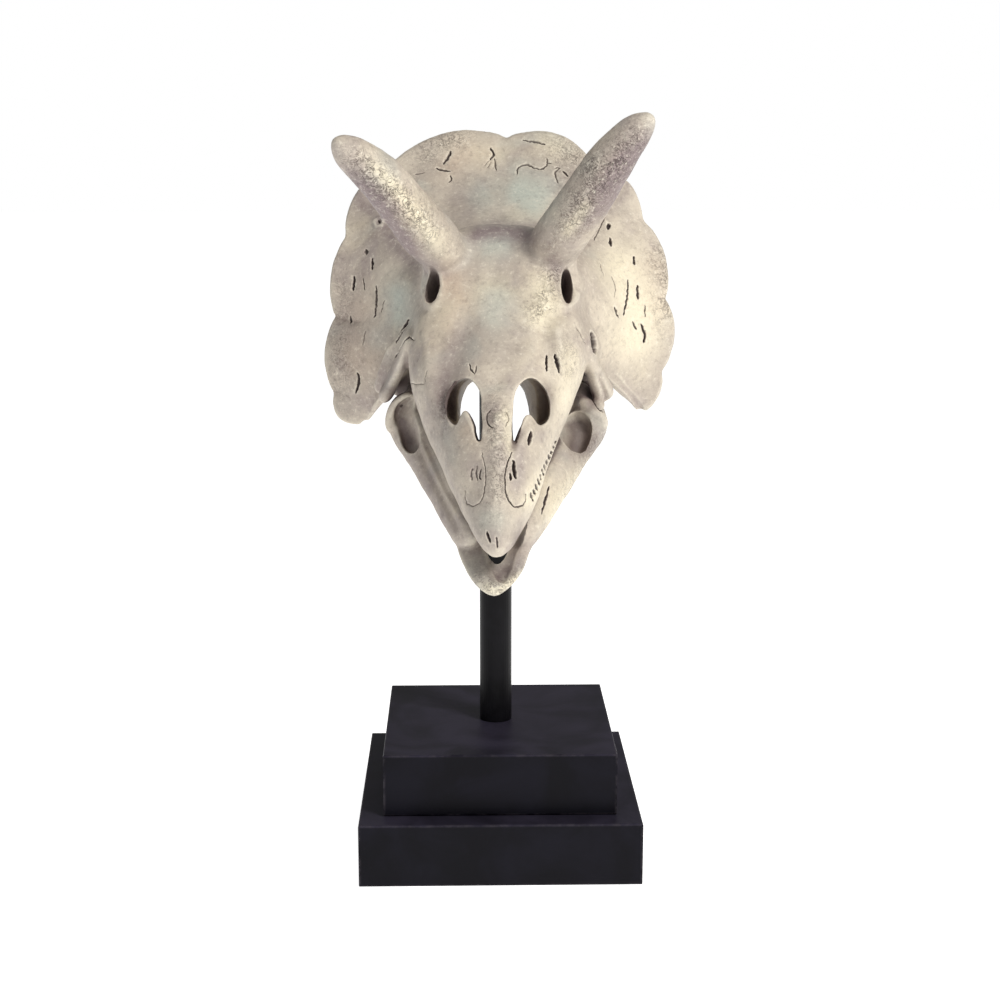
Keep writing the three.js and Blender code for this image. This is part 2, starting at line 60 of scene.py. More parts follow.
# The camera, in millimetres of the whole object's frame, its place in the skull's frame, and the width of
# its picture in the units that the marks are drawn in
CAMERA_AT = np.array([-27.11, -1376.74, 557.45])
CAMERA_LOOK = np.array([0.02038, 0.97964, -0.19975])
EYE_AT = (CAMERA_AT - SKULL_AT) @ SKULL_TURN
LENS = 64.37
SENSOR = 36.0
PICTURE = 1000

# How bright the surround is for the object, how bright the floor glows and how far it runs, and the lamps
SKY_LIGHT = 0.25
FLOOR_GLOW = 0.85
FLOOR_HALF = 12
LAMP_AIM = (0, 0, 0.4)
LAMPS = {
    "key": {"at": (0.95, -1.0, 1.55), "size": 0.45, "power": 25, "tint": (1, 0.97, 0.93)},
    "fill": {"at": (-1.4, -1.0, 0.8), "size": 1.0, "power": 2.0, "tint": (0.9, 0.93, 1)},
}

# The face's own axis runs from the top of the brow down to the tip of the beak.
BROW_TOP = np.array([0, 0, 493.0])
FACE_SLOPE = radians(50)
FACE_DOWN = np.array([0, -cos(FACE_SLOPE), -sin(FACE_SLOPE)])
FACE_OUT = np.array([0, -sin(FACE_SLOPE), cos(FACE_SLOPE)])

# Sections of the face: how far down the axis, how wide to the left and to the right, how far out of the face
# its front, its widest line and its back lie, and how square it is in front (1 is round, less is squarer). It
# was modelled, and its snout is narrower on the right.
FACE_SECTIONS = np.array([
    (-15, 42, 42, -11, -26, -44, 0.9),
    (6, 51, 51, 1, -24, -58, 0.8),
    (30, 56, 56, 2, -32, -68, 0.7),
    (55, 60, 60, 3, -36, -76, 0.7),
    (80, 64, 64, 4, -38, -82, 0.74),
    (104, 68, 65, 5, -38, -86, 0.85),
    (139, 61, 54, 9, -36, -82, 1),
    (170, 51, 43.5, 12, -37, -64, 1.1),
    (190, 43, 38, 12, -34, -53, 1.1),
    (216, 34, 31.5, 10, -30, -42, 1),
    (240, 24, 23.5, 5, -25, -34, 1),
    (258, 15.5, 15.5, -1, -20, -30, 1),
    (277, 7, 7, -12, -18, -24, 1),
])
# How much of the face's length is rounded at the brow and at the tip, and how square its back is
FACE_ENDS = (0.11, 0.05)
FACE_SQUARE = {"across": 0.9, "back": 0.72}

# The braincase: its middle, a wing to each side that meets the frill, and the ball of the neck's joint
BRAINCASE = [
    {"at": (0, 8, 420), "half": (48, 29, 46)},
    {"at": (-36, 15, 424), "half": (32, 9, 18)},
    {"at": (36, 15, 424), "half": (32, 9, 18)},
    {"at": (0, 34, 396), "half": (12, 13, 12)},
]

# Limbs are given by sections, each with its middle, its half width and its half height. This one is the knob
# under the braincase that takes the top of the pole.
POLE_KNOB = [((-1.9, 2, 364), 15, 16), ((-1.9, 6, 384), 17, 19), ((-1.9, 12, 404), 20, 22)]

# The eye sockets, tall slots that narrow towards the middle of the skull, and the ridge behind them
ORBITS = {
    "left": [((-51.5, -70, 455), 8, 15), ((-50.5, -32, 447), 6.8, 13.6), ((-45, -6, 441), 3.5, 9)],
    "right": [((52.5, -70, 455), 6.5, 16), ((52, -30, 447.5), 5.6, 14.8), ((48, -4, 441), 3.2, 9)],
}
ORBIT_RIM = [
    ((46, -8, 478), 12, 12), ((53, -5, 450), 8, 12), ((60, -10, 418), 7, 12), ((62, -18, 392), 6, 10),
]

# The brow horns: the middle of each section from inside the brow to the tip, their half widths, and how much
# taller than wide they are
HORNS = {
    "left": [
        (-36, -8, 470), (-46, -22, 477), (-67, -49, 504.5),
        (-84, -69, 527), (-98, -84, 540), (-115, -101, 554),
    ],
    "right": [
        (36, -6, 472), (44.5, -18, 481), (66, -40, 514),
        (79.5, -56, 537), (92.5, -67, 554), (109.5, -80, 571),
    ],
}
HORN_RADII = (15.5, 20.5, 18.7, 17.2, 14.2, 10.5)
HORN_TALL = 1.04

# Outlines of the nostrils as seen from the front, as x and z, on a plane across the snout. The peak in the
# lower edge is a spur of bone. The holes sink as they go back.
NOSTRILS = {
    "left": [
        (-22, 388), (-31.5, 382), (-36.5, 370), (-35.5, 358), (-30, 353.5), (-24.5, 364.5),
        (-19, 356), (-14.6, 344), (-12.6, 340), (-11.4, 350), (-11.6, 364), (-14, 380),
    ],
    "right": [
        (24, 388), (33, 381), (37.5, 369), (36, 358), (30, 353.5), (22, 361.5),
        (16.5, 353), (12.6, 343), (11.2, 340), (10.2, 350), (10.6, 364), (14, 381),
    ],
}
NOSTRIL = {"front": -170, "back": -60, "drawn": -110, "sink": 0.155, "corners": 60}
NOSE_BOSS = {"at": (-1, -112.5, 368), "half": (8, 10, 8)}

# The nasal passage, open from behind the nostrils to the back of the skull. Each section has its y, its left
# and right and its low and high edge.
PASSAGE = [
    (-90, -31, 33, 334, 388), (-50, -30, 27, 322, 381), (0, -29, 21, 300, 373), (90, -34, 26, 280, 359),
]
PASSAGE_ENDS = (0.06, 0.02)
PASSAGE_SQUARE = 0.55

# The frill's sheet: how thick it is at its rim and root, how high its hem rolls and how far in, how much of
# its thickness is left at the very edge, how far in that rounding goes from the rim and from the two ends,
# how full its lobes are, how close its rows lie towards the rim, and how fine it is
FRILL = {
    "rim": 6.2, "root": 11, "roll": 3.2, "roll_reach": 0.07, "edge": 0.45, "rim_round": 0.03,
    "end_round": 0.006, "lobe": 0.75, "crowd": 0.85, "columns": 220, "rows": 36,
}
# How far back the sheet lies at the cheeks and low down, and how much more, from where and over what height
FRILL_BACK = {"cheek": 14, "low": 59, "more": 81, "from": 325, "over": 235, "bend": 2.2}
# How far the sheet is dished, backwards at its sides and downwards in its middle
FRILL_DISH = {"back": 5, "down": 17}
# Where the frill's edge is notched, from the right cheek round over the top to the left cheek, as x and z,
# and how far the edge swells out between this notch and the next.
FRILL_NOTCHES = [
    ((80, 383), 0), ((116, 338.5), 6), ((129.3, 371), 10), ((131.6, 428), 11), ((114.5, 489), 12),
    ((79, 529), 17), ((5, 554.5), 16.5), ((-93, 530), 12), ((-124, 476.5), 9), ((-131, 413.6), 9),
    ((-133, 353), 11), ((-112, 329.5), 0), ((-86, 374), 0),
]
# Where the frill leaves the skull, from the right cheek over the braincase to the left cheek
FRILL_ROOT = [
    (60, -8, 398), (60, -6, 402), (59, -4, 410), (57, -4, 430), (50, -2, 456),
    (32, 3, 470), (0, 6, 475), (-32, 3, 470), (-50, -2, 456),
    (-57, -4, 430), (-60, -4, 406), (-61, -6, 400), (-62, -8, 394),
]

# The horns of the cheeks, from the ridge down to the tip, each with the web of bone that ties it to the
# frill, and on the right a knob beside its tip
CHEEKS = {
    "left": [((-60, -28, 410), 9, 13), ((-78, -14, 382), 6.5, 12), ((-91, -2, 355), 6.5, 9)],
    "right": [((58, -28, 410), 9, 13), ((72, -14, 382), 7.5, 11), ((83, -1, 356), 10.5, 7)],
}
CHEEK_WEBS = {
    "left": [((-62, -14, 412), 12, 9), ((-80, -1, 386), 13, 6.5), ((-96, 12, 360), 9, 5)],
    "right": [((60, -14, 414), 12, 9), ((73, -3, 396), 9, 6.5), ((80, 4, 385), 4, 5)],
}
CHEEK_KNOB = {"at": (76, -8.5, 353.5), "half": (6, 5.5, 6.5)}
# The bar from the braincase to the hinge of the jaw, and the plate of bone inside it
QUADRATE = [((56, 20, 408), 8, 10), ((69, 18.5, 382.5), 6, 9), ((82, 17, 357), 8, 8)]
PTERYGOID = {"at": (59, 12, 376), "half": (20, 8, 28)}

# The lower jaw, from the hinge to the front
JAW_SECTIONS = [
    ((77, 20, 347), 6, 6), ((75, 7, 340), 9, 14.5), ((64.5, -14, 332), 10, 18),
    ((49.5, -50, 314), 10.5, 15.5), ((34.5, -85, 298), 10.5, 16), ((23.5, -113, 284), 10.5, 15),
    ((17.5, -133, 271), 7.5, 10),
]
JAW_LEAN = radians(22)
JAW_X = -1.2
# The spur that rises from the jaw behind the teeth
CORONOID = [((69, -4, 338), 8, 13), ((66, -4, 353), 6, 9), ((63, -4, 368), 3.5, 5)]
# The long pit in each side of the jaw, below its spur, the rim that runs round its top, and a plate behind
JAW_PITS = {
    "left": [
        ((-66, -12, 361), 4.5, 10), ((-71.5, -21, 348), 7, 18),
        ((-68, -31, 333), 6.5, 17), ((-62, -41, 318), 3, 8),
    ],
    "right": [
        ((57, -18, 352), 7, 12), ((58.5, -25, 340), 11, 20),
        ((56.5, -34, 326), 9.5, 19), ((51, -46, 311), 4.5, 10),
    ],
}
PIT_LEAN = radians(23)
JAW_RIMS = {
    "left": [
        ((-82, -4, 330), 5.5, 5.5), ((-84, -6, 343), 4.5, 5.5),
        ((-77, -10, 356), 4.5, 5), ((-66, -13, 362), 4.5, 5),
    ],
    "right": [
        ((78, -4, 330), 7, 6), ((78, -8, 343), 6, 6),
        ((70, -12, 352), 5.5, 6), ((61, -14, 360), 5, 6),
    ],
}
JAW_PLATE = {"at": (61, 2, 352), "half": (14, 7, 19)}

# The scoop in front of the jaws: its outside, the hollow in it and the throat behind its floor. The hollow
# lies to the right, which leaves a thick lip on the left.
SCOOP = {
    "x": -2.1, "tip": -161, "rear": -99, "half": 29.5, "round": 1.9,
    "top_rear": 300, "top_tip": 248, "keel_rear": 266, "keel_tip": 239,
}
HOLLOW = {
    "x": 3, "tip": -158, "rear": -105, "half": 20, "round": 1.9,
    "top_rear": 340, "top_tip": 300, "keel_rear": 273, "keel_tip": 246,
}
THROAT = {
    "x": -2, "tip": -138, "rear": -60, "half": 14, "round": 3.5,
    "top_rear": 340, "top_tip": 300, "keel_rear": 235, "keel_tip": 225,
}
# What the three have in common: how their ends are rounded, how their top and keel bend, how soon they reach
# their full width, and how square they are across and upright
BOAT = {"ends": (0.06, 0.03), "top_bend": 0.8, "keel_bend": 1.3, "widen": 1.6, "across": 0.85, "upright": 0.9}

# The cheek teeth, a row of pegs on each side that are thinner at their tips
TEETH = {"count": 15, "length": 9, "thick": 1.7, "thin": 1.2}
TOOTH_ROWS = {
    "left": {"first": (-44, -52, 326), "last": (-28, -116, 302)},
    "right": {"first": (39, -52, 326), "last": (27, -116, 302)},
}

# Where the forms melt into each other, and how far that reaches
SKULL_JOINS = [
    ((-44, -22, 474), 34), ((43, -20, 476), 34), ((0, 0, 476), 36), ((-24, -4, 478), 32),
    ((24, -4, 478), 32), ((-54, -4, 450), 26), ((54, -4, 450), 26), ((-60, -6, 424), 26),
    ((60, -6, 424), 26), ((-66, -10, 402), 28), ((66, -10, 402), 26), ((-84, 2, 380), 24),
    ((76, -2, 390), 16), ((-50, 4, 400), 20), ((50, 4, 400), 20), ((0, 20, 440), 50), ((0, -114, 369), 11),
]
JAW_JOINS = [
    ((-27, -112, 282), 16), ((26, -112, 282), 18), ((22, -130, 266), 14),
    ((-72, -6, 342), 20), ((70, -6, 342), 20),
]
# How strong a join melts in its middle, and the share of its reach that melts as strongly
JOIN_STRENGTH = 0.7
JOIN_CORE = 0.35

# How fine the casts are
COARSE = 1.3
FINE = 0.9
MOST_FACES = {"skull": 190000, "jaw": 90000}
# The uneven skin of bone, as the sizes and heights of its lumps in millimetres, and how far the noise is
# moved along each axis from one of them to the next
SKIN_LUMPS = ((34, 0.8), (13, 0.45), (5, 0.16))
NOISE_STEPS = (13.7, 7.1, 3.3)

# Recesses are found by easing the surface, a few times for the fine ones and often for the broad ones. Each
# pair has the number of times and the weight.
RECESSES = ((6, 1.3), (40, 0.12))
# How far a shut place and a crease are looked for, in millimetres, from how high above the skin, and which
# ways beside the normal
SHUT_REACH = 30
CREASE_REACH = 9
SHUT_LIFT = 0.8
SHUT_TILTS = [
    (0, 0, 0), (0.8, 0, 0.5), (-0.8, 0, 0.5), (0, 0.8, -0.6), (0, -0.8, -0.6), (0.9, 0.6, 0), (-0.9, -0.6, 0),
]
# What counts as seen from the front: how far it turns to the eye, how high above the skin the look to the
# eye starts, and how far it has to be clear
SIGHT = {"facing": 0.02, "lift": 0.6, "clear": 400}

# The least length that anything is divided by
LENGTH_FLOOR = 1e-6


def unit(vectors):
    """Vectors of length one in the same directions."""
    return vectors / np.linalg.norm(vectors, axis=-1, keepdims=True)


def blend(start, end, amount):
    """From start to end by an amount from 0 to 1."""
    return start + (end - start) * amount


def soft_step(values, low, high):
    """0 below low, 1 above high and a soft rise between them."""
    rise = np.clip((values - low) / (high - low), 0, 1)
    return rise * rise * (3 - 2 * rise)


def signed_power(values, exponent):
    """A power that keeps the sign of the value."""
    return np.sign(values) * np.abs(values) ** exponent


def smooth_line(points, t):
    """Places at t, from 0 to 1, on a smooth line through the points."""
    points = np.asarray(points, float)
    spans = len(points) - 1
    before = 2 * points[0] - points[1]
    after = 2 * points[-1] - points[-2]
    whole = np.vstack([before, points, after])
    span = np.clip(np.floor(t * spans), 0, spans - 1).astype(int)
    within = (t * spans - span)[:, None]
    a, b, c, d = (whole[span + i] for i in range(4))
    first, middle, last = (span_weight(p, q) for p, q in ((a, b), (b, c), (c, d)))
    leave = ((b - a) / first - (c - a) / (first + middle) + (c - b) / middle) * middle
    arrive = ((c - b) / middle - (d - b) / (middle + last) + (d - c) / last) * middle
    square = within * within
    cube = square * within
    start = (2 * cube - 3 * square + 1) * b + (cube - 2 * square + within) * leave
    return start + (3 * square - 2 * cube) * c + (cube - square) * arrive


def span_weight(start, end):
    """The weight of a span on a smooth line: the root of its length."""
    length = np.linalg.norm(end - start, axis=1, keepdims=True)
    return np.where(length < LENGTH_FLOOR, 1, np.sqrt(np.maximum(length, LENGTH_FLOOR)))


def fullness(t, start, end):
    """How full a section is near a rounded end, from 0 at the very end to 1."""
    full = np.ones_like(t)
    if start:
        full = full * np.sqrt(np.clip(1 - (1 - np.minimum(1, t / start)) ** 2, 0, 1))
    if end:
        full = full * np.sqrt(np.clip(1 - (1 - np.minimum(1, (1 - t) / end)) ** 2, 0, 1))
    return full


def face_outwards(form):
    """Turns every face of a closed form outwards."""
    bmesh.ops.recalc_face_normals(form, faces=form.faces)
    if form.calc_volume(signed=True) < 0:
        bmesh.ops.reverse_faces(form, faces=form.faces)
    return form


def skin(sides, rows, place):
    """A sphere drawn out over a form: place gives the points at t between its poles and at a turn."""
    form = bmesh.new()
    bmesh.ops.create_uvsphere(form, u_segments=sides, v_segments=rows, radius=1)
    start = np.array([vertex.co for vertex in form.verts])
    along = np.arccos(np.clip(start[:, 2], -1, 1)) / pi
    turn = np.arctan2(start[:, 1], start[:, 0])
    for vertex, point in zip(form.verts, place(along, turn)):
        vertex.co = point
    return face_outwards(form)


def limb(sections, up, ends, lean=0.0, square=1.0, grow=0.0):
    """Oval sections along a smooth path, with round ends. They stand upright on up, or lean."""
    path = [at for at, _, _ in sections]
    sizes = [(half, tall, 0) for _, half, tall in sections]

    def place(along, turn):
        t = 0.5 - 0.5 * np.cos(pi * along)
        step = 1e-3
        ahead = smooth_line(path, np.minimum(t + step, 1)) - smooth_line(path, np.maximum(t - step, 0))
        ahead = unit(ahead)
        side = unit(np.cross(ahead, up))
        upright = np.cross(side, ahead)
        size = smooth_line(sizes, t)
        full = fullness(t, *ends)
        across = (size[:, 0] + grow) * full * signed_power(np.cos(turn), square)
        tall = (size[:, 1] + grow) * full * signed_power(np.sin(turn), square)
        x = across * cos(lean) - tall * sin(lean)
        y = across * sin(lean) + tall * cos(lean)
        stretch = grow * (2 * t - 1)
        return smooth_line(path, t) + side * x[:, None] + upright * y[:, None] + ahead * stretch[:, None]

    return skin(sides=48, rows=60, place=place)


def ellipsoid(at, half, grow=0.0):
    """A ball stretched to three half sizes."""
    form = bmesh.new()
    bmesh.ops.create_uvsphere(form, u_segments=48, v_segments=32, radius=1)
    bmesh.ops.scale(form, vec=Vector(half) + Vector((grow,) * 3), verts=form.verts)
    bmesh.ops.translate(form, vec=at, verts=form.verts)
    return form


def to_side(side, sections, shift=0.0):
    """Sections given for the right, on either side, and shifted across."""
    return [((side * x + shift, y, z), half, tall) for (x, y, z), half, tall in sections]


def plate_form(side, at, half, grow=0.0):
    """A plate of bone given for the right, on either side."""
    x, y, z = at
    return ellipsoid((side * x, y, z), half, grow)


def face_form(grow=0.0):
    """The whole face, from the brow to the tip of the beak."""
    widths, reaches, rounds = np.split(FACE_SECTIONS, (3, 6), axis=1)

    def place(along, turn):
        down, left, right = smooth_line(widths, along).T
        front, side, back = smooth_line(reaches, along).T
        round_front = smooth_line(rounds, along)[:, 0]
        full = fullness(along, *FACE_ENDS)
        across, out = np.cos(turn), np.sin(turn)
        half = np.where(across > 0, right, left)
        square = np.where(out > 0, round_front, FACE_SQUARE["across"])
        wide = (half + grow) * full * signed_power(across, square)
        forward = (front - side + grow) * full * np.abs(out) ** round_front
        rearward = -(side - back + grow) * full * np.abs(out) ** FACE_SQUARE["back"]
        depth = side + np.where(out > 0, forward, rearward)
        reach = down + grow * (2 * along - 1)
        x = np.stack([wide, np.zeros_like(wide), np.zeros_like(wide)], 1)
        return BROW_TOP + FACE_DOWN * reach[:, None] + FACE_OUT * depth[:, None] + x

    return skin(sides=96, rows=120, place=place)


def horn_form(middles):
    """A brow horn, thick at the brow, with a blunt tip."""
    sections = [(at, radius, radius * HORN_TALL) for at, radius in zip(middles, HORN_RADII)]
    return limb(sections, up=(0, 1, 0.3), ends=(0.05, 0.16))


def orbit_rim_form(side):
    """The ridge behind an eye socket."""
    return limb(to_side(side, ORBIT_RIM), up=(0, 1, 0), ends=(0.15, 0.1))


def cheek_form(name, grow=0.0):
    """A cheek horn, which hangs from the ridge under the eye."""
    return limb(CHEEKS[name], up=(0, 1, 0), ends=(0.05, 0.22), grow=grow)


def cheek_web_form(name):
    """The web of bone that ties a cheek horn to the frill."""
    return limb(CHEEK_WEBS[name], up=(0, 1, 0), ends=(0.1, 0.3))


def quadrate_form(side, grow=0.0):
    """The bar that carries the hinge of the jaw."""
    return limb(to_side(side, QUADRATE), up=(0, 1, 0), ends=(0.1, 0.15), grow=grow)


def frill_places(flat, t):
    """Places on the frill's outline, given as x and z, set back: further the higher they are."""
    rise = np.maximum(0, (flat[:, 1] - FRILL_BACK["from"]) / FRILL_BACK["over"])
    back = FRILL_BACK["low"] + FRILL_BACK["more"] * rise ** FRILL_BACK["bend"]
    cheek = np.maximum(0, 1 - np.minimum(t, 1 - t) * (len(FRILL_NOTCHES) - 1))
    return np.stack([flat[:, 0], blend(back, FRILL_BACK["cheek"], cheek), flat[:, 1]], 1)


def frill_rim(t):
    """The frill's edge at t from the right cheek over the top to the left cheek."""
    spans = len(FRILL_NOTCHES) - 1
    notches = np.array([at for at, _ in FRILL_NOTCHES])
    swells = np.array([swell for _, swell in FRILL_NOTCHES])
    span = np.minimum(spans - 1, np.floor(t * spans)).astype(int)
    within = t * spans - span
    run = notches[span + 1] - notches[span]
    outward = unit(np.stack([run[:, 1], -run[:, 0]], 1))
    swell = swells[span] * np.sin(pi * within) ** FRILL["lobe"]
    return frill_places(notches[span] + run * within[:, None] + outward * swell[:, None], t)


def frill_hem(t):
    """A line as long as the frill's edge without its lobes, which the sheet runs out to."""
    return frill_places(smooth_line([at for at, _ in FRILL_NOTCHES], t), t)


def frill_sheet(t, out):
    """A place on the middle of the frill's dished sheet, t round it and out from its root to its rim."""
    dish = 4 * out * (1 - out)
    over = np.sin(pi * t) ** 3
    back = FRILL_DISH["back"] * dish * (1 - over)
    shift = np.stack([np.zeros_like(t), back, -FRILL_DISH["down"] * dish * over], 1)
    hem = frill_hem(t)
    lobes = (frill_rim(t) - hem) * (out**4)[:, None]
    return blend(smooth_line(FRILL_ROOT, t), hem, out[:, None]) + lobes + shift


def extruded(form, faces):
    """Extrudes the faces and returns the new vertices, still in the old places."""
    grown = bmesh.ops.extrude_face_region(form, geom=faces)["geom"]
    return [part for part in grown if isinstance(part, bmesh.types.BMVert)]


def frill_form():
    """The whole frill as one curved plate with a rounded rim."""
    form = bmesh.new()
    bmesh.ops.create_grid(form, x_segments=FRILL["columns"], y_segments=FRILL["rows"], size=1)
    fronts = list(form.verts)
    backs = extruded(form, form.faces[:])
    bmesh.ops.translate(form, vec=(0, 0, 1), verts=backs)
    bmesh.ops.translate(form, vec=(0, 0, -1), verts=fronts)
    start = np.array([vertex.co for vertex in form.verts])
    t = (start[:, 0] + 1) / 2
    out = ((start[:, 1] + 1) / 2) ** FRILL["crowd"]
    nudge = 0.004
    inward = np.maximum(0, out - nudge)
    along = frill_sheet(np.minimum(1, t + nudge), inward) - frill_sheet(np.maximum(0, t - nudge), inward)
    outward = frill_sheet(t, inward + nudge) - frill_sheet(t, np.maximum(0, inward - nudge))
    normal = unit(np.cross(along, outward))
    from_ends = np.minimum(t, 1 - t) / FRILL["end_round"]
    edge = np.minimum(np.minimum((1 - out) / FRILL["rim_round"], from_ends), 1)
    rounded = FRILL["edge"] + (1 - FRILL["edge"]) * np.sqrt(np.clip(1 - (1 - edge) ** 2, 0, 1))
    roll = FRILL["roll"] * np.exp(-(((1 - out) / FRILL["roll_reach"]) ** 2))
    thick = (blend(FRILL["root"], FRILL["rim"], np.sqrt(out)) + roll) / 2 * rounded
    points = frill_sheet(t, out) + normal * (np.sign(start[:, 2]) * thick)[:, None]
    for vertex, point in zip(form.verts, points):
        vertex.co = point
    return face_outwards(form)


def nostril_hole(outline):
    """A nostril's outline driven back through the snout."""
    closed = outline[-1:] + outline + outline[:2]
    spans = len(closed) - 1
    t = (1 + np.arange(NOSTRIL["corners"]) / NOSTRIL["corners"] * len(outline)) / spans
    ring = smooth_line([(x, z, 0) for x, z in closed], t)
    form = bmesh.new()
    corners = [form.verts.new((x, NOSTRIL["front"], z)) for x, z, _ in ring]
    rim = form.faces.new(corners)
    backs = extruded(form, [rim])
    bmesh.ops.translate(form, vec=(0, NOSTRIL["back"] - NOSTRIL["front"], 0), verts=backs)
    for vertex in form.verts:
        vertex.co.z -= NOSTRIL["sink"] * (vertex.co.y - NOSTRIL["drawn"])
    bmesh.ops.triangulate(form, faces=form.faces)
    return face_outwards(form)


def passage_hole():
    """The nasal passage, a rounded tunnel."""
    stations, *edges = np.array(PASSAGE, float).T

    def place(along, turn):
        y = blend(stations[0], stations[-1], along)
        left, right, low, high = (np.interp(y, stations, edge) for edge in edges)
        full = fullness(along, *PASSAGE_ENDS)
        x = (left + right) / 2 + (right - left) / 2 * full * signed_power(np.cos(turn), PASSAGE_SQUARE)
        z = (low + high) / 2 + (high - low) / 2 * full * signed_power(np.sin(turn), PASSAGE_SQUARE)
        return np.stack([x, y, z], 1)

    return skin(sides=48, rows=40, place=place)


def orbit_hole(name):
    """An eye socket."""
    return limb(ORBITS[name], up=(0, 0, 1), ends=(0, 0.25))


def pole_hole():
    """The hole that the pole stands in."""
    form = bmesh.new()
    radius = POLE["radius"] + POLE_GAP
    bmesh.ops.create_cone(form, cap_ends=True, segments=64, radius1=radius, radius2=radius, depth=POLE_DRILL)
    middle = (POLE["x"] - SKULL_AT[0], 0, POLE["top"] + POLE_GAP - POLE_DRILL / 2)
    bmesh.ops.translate(form, vec=middle, verts=form.verts)
    return form


def jaw_form(side):
    """One side of the lower jaw."""
    sections = to_side(side, JAW_SECTIONS, JAW_X)
    return limb(sections, up=(0, 0, 1), ends=(0.04, 0.1), lean=-side * JAW_LEAN, square=0.85)


def coronoid_form(side):
    """The spur that rises from the jaw behind the teeth."""
    return limb(to_side(side, CORONOID, JAW_X), up=(0, 1, 0), ends=(0.05, 0.2))


def jaw_rim_form(name):
    """The rim that runs round the top of a jaw's pit."""
    return limb(JAW_RIMS[name], up=(0, 1, 0), ends=(0.2, 0.2))


def jaw_pit(name, side):
    """The long pit in a side of the jaw."""
    return limb(JAW_PITS[name], up=(0, 1, 0), ends=(0.2, 0.2), lean=-side * PIT_LEAN)


def boat_form(boat):
    """A boat whose stern is at the rear and whose stem is at the tip."""
    def place(along, turn):
        t = 0.5 - 0.5 * np.cos(pi * along)
        full = fullness(t, *BOAT["ends"])
        top = blend(boat["top_rear"], boat["top_tip"], t ** BOAT["top_bend"])
        keel = blend(boat["keel_rear"], boat["keel_tip"], t ** BOAT["keel_bend"])
        wide = boat["half"] * np.sqrt(np.maximum(0, 1 - t ** boat["round"]))
        across = wide * np.minimum(1, full * BOAT["widen"])
        tall = (top - keel) / 2 * full
        x = boat["x"] + across * signed_power(np.cos(turn), BOAT["across"])
        y = blend(boat["rear"], boat["tip"], t)
        z = (top + keel) / 2 + tall * signed_power(np.sin(turn), BOAT["upright"])
        return np.stack([x, y, z], 1)

    return skin(sides=72, rows=60, place=place)


def teeth_form(name):
    """The cheek teeth on one side, a row of narrow pegs."""
    form = bmesh.new()
    first, last = (np.array(TOOTH_ROWS[name][end]) for end in ("first", "last"))
    shape = {"segments": 10, "radius1": TEETH["thin"], "radius2": TEETH["thick"], "depth": TEETH["length"]}
    for i in range(TEETH["count"]):
        made = bmesh.ops.create_cone(form, cap_ends=True, **shape)
        bmesh.ops.translate(form, vec=blend(first, last, i / (TEETH["count"] - 1)), verts=made["verts"])
    return form


def joined(forms):
    """Several forms as one bmesh."""
    whole = bmesh.new()
    for form in forms:
        mesh = bpy.data.meshes.new("form")
        form.to_mesh(mesh)
        form.free()
        whole.from_mesh(mesh)
        bpy.data.meshes.remove(mesh)
    return whole


def new_piece(name, form):
    """A mesh object made from a bmesh."""
    mesh = bpy.data.meshes.new(name)
    form.to_mesh(mesh)
    form.free()
    piece = bpy.data.objects.new(name, mesh)
    bpy.context.scene.collection.objects.link(piece)
    return piece


def settle(piece):
    """Makes the piece's modifiers part of its mesh."""
    graph = bpy.context.evaluated_depsgraph_get()
    finished = bpy.data.meshes.new_from_object(piece.evaluated_get(graph))
    piece.modifiers.clear()
    plain = piece.data
    piece.data = finished
    bpy.data.meshes.remove(plain)


def fuse(piece, voxel):
    """Melts overlapping forms into one closed skin."""
    melt = piece.modifiers.new("melt", "REMESH")
    melt.mode = "VOXEL"
    melt.voxel_size = voxel
    melt.adaptivity = 0
    settle(piece)


def hollow_out(piece, holes):
    """Cuts the holes out of the piece, one after another."""
    for hole in holes:
        tool = new_piece("hole", hole)
        drill = piece.modifiers.new("drill", "BOOLEAN")
        drill.operation = "DIFFERENCE"
        drill.solver = "MANIFOLD"
        drill.object = tool
        settle(piece)
        mesh = tool.data
        bpy.data.objects.remove(tool)
        bpy.data.meshes.remove(mesh)


def keep_largest(piece):
    """Drops loose crumbs and keeps the largest closed skin."""
    form = bmesh.new()
    form.from_mesh(piece.data)
    form.verts.ensure_lookup_table()
    group = np.full(len(form.verts), -1)
    sizes = []
    for vertex in form.verts:
        if group[vertex.index] >= 0:
            continue
        mark = len(sizes)
        group[vertex.index] = mark
        front = [vertex]
        count = 0
        while front:
            here = front.pop()
            count += 1
            for edge in here.link_edges:
                other = edge.other_vert(here)
                if group[other.index] < 0:
                    group[other.index] = mark
                    front.append(other)
        sizes.append(count)
    loose = [form.verts[i] for i in np.nonzero(group != int(np.argmax(sizes)))[0]]
    bmesh.ops.delete(form, geom=loose, context="VERTS")
    form.to_mesh(piece.data)
    form.free()


def read_rows(items, name, width, kind):
    """A value of each of a mesh's items, as rows of so many numbers."""
    values = np.empty(len(items) * width, kind)
    items.foreach_get(name, values)
    return values.reshape(-1, width)


def read_points(mesh):
    """The places of a mesh's vertices."""
    return read_rows(mesh.vertices, "co", 3, np.float32).astype(float)


def read_normals(mesh):
    """The normals of a mesh's vertices."""
    return read_rows(mesh.vertices, "normal", 3, np.float32).astype(float)


def read_edges(mesh):
    """The pairs of vertices that a mesh's edges join."""
    return read_rows(mesh.edges, "vertices", 2, np.int32)


def write_points(mesh, points):
    """Moves a mesh's vertices."""
    mesh.vertices.foreach_set("co", points.astype(np.float32).ravel())
    mesh.update()


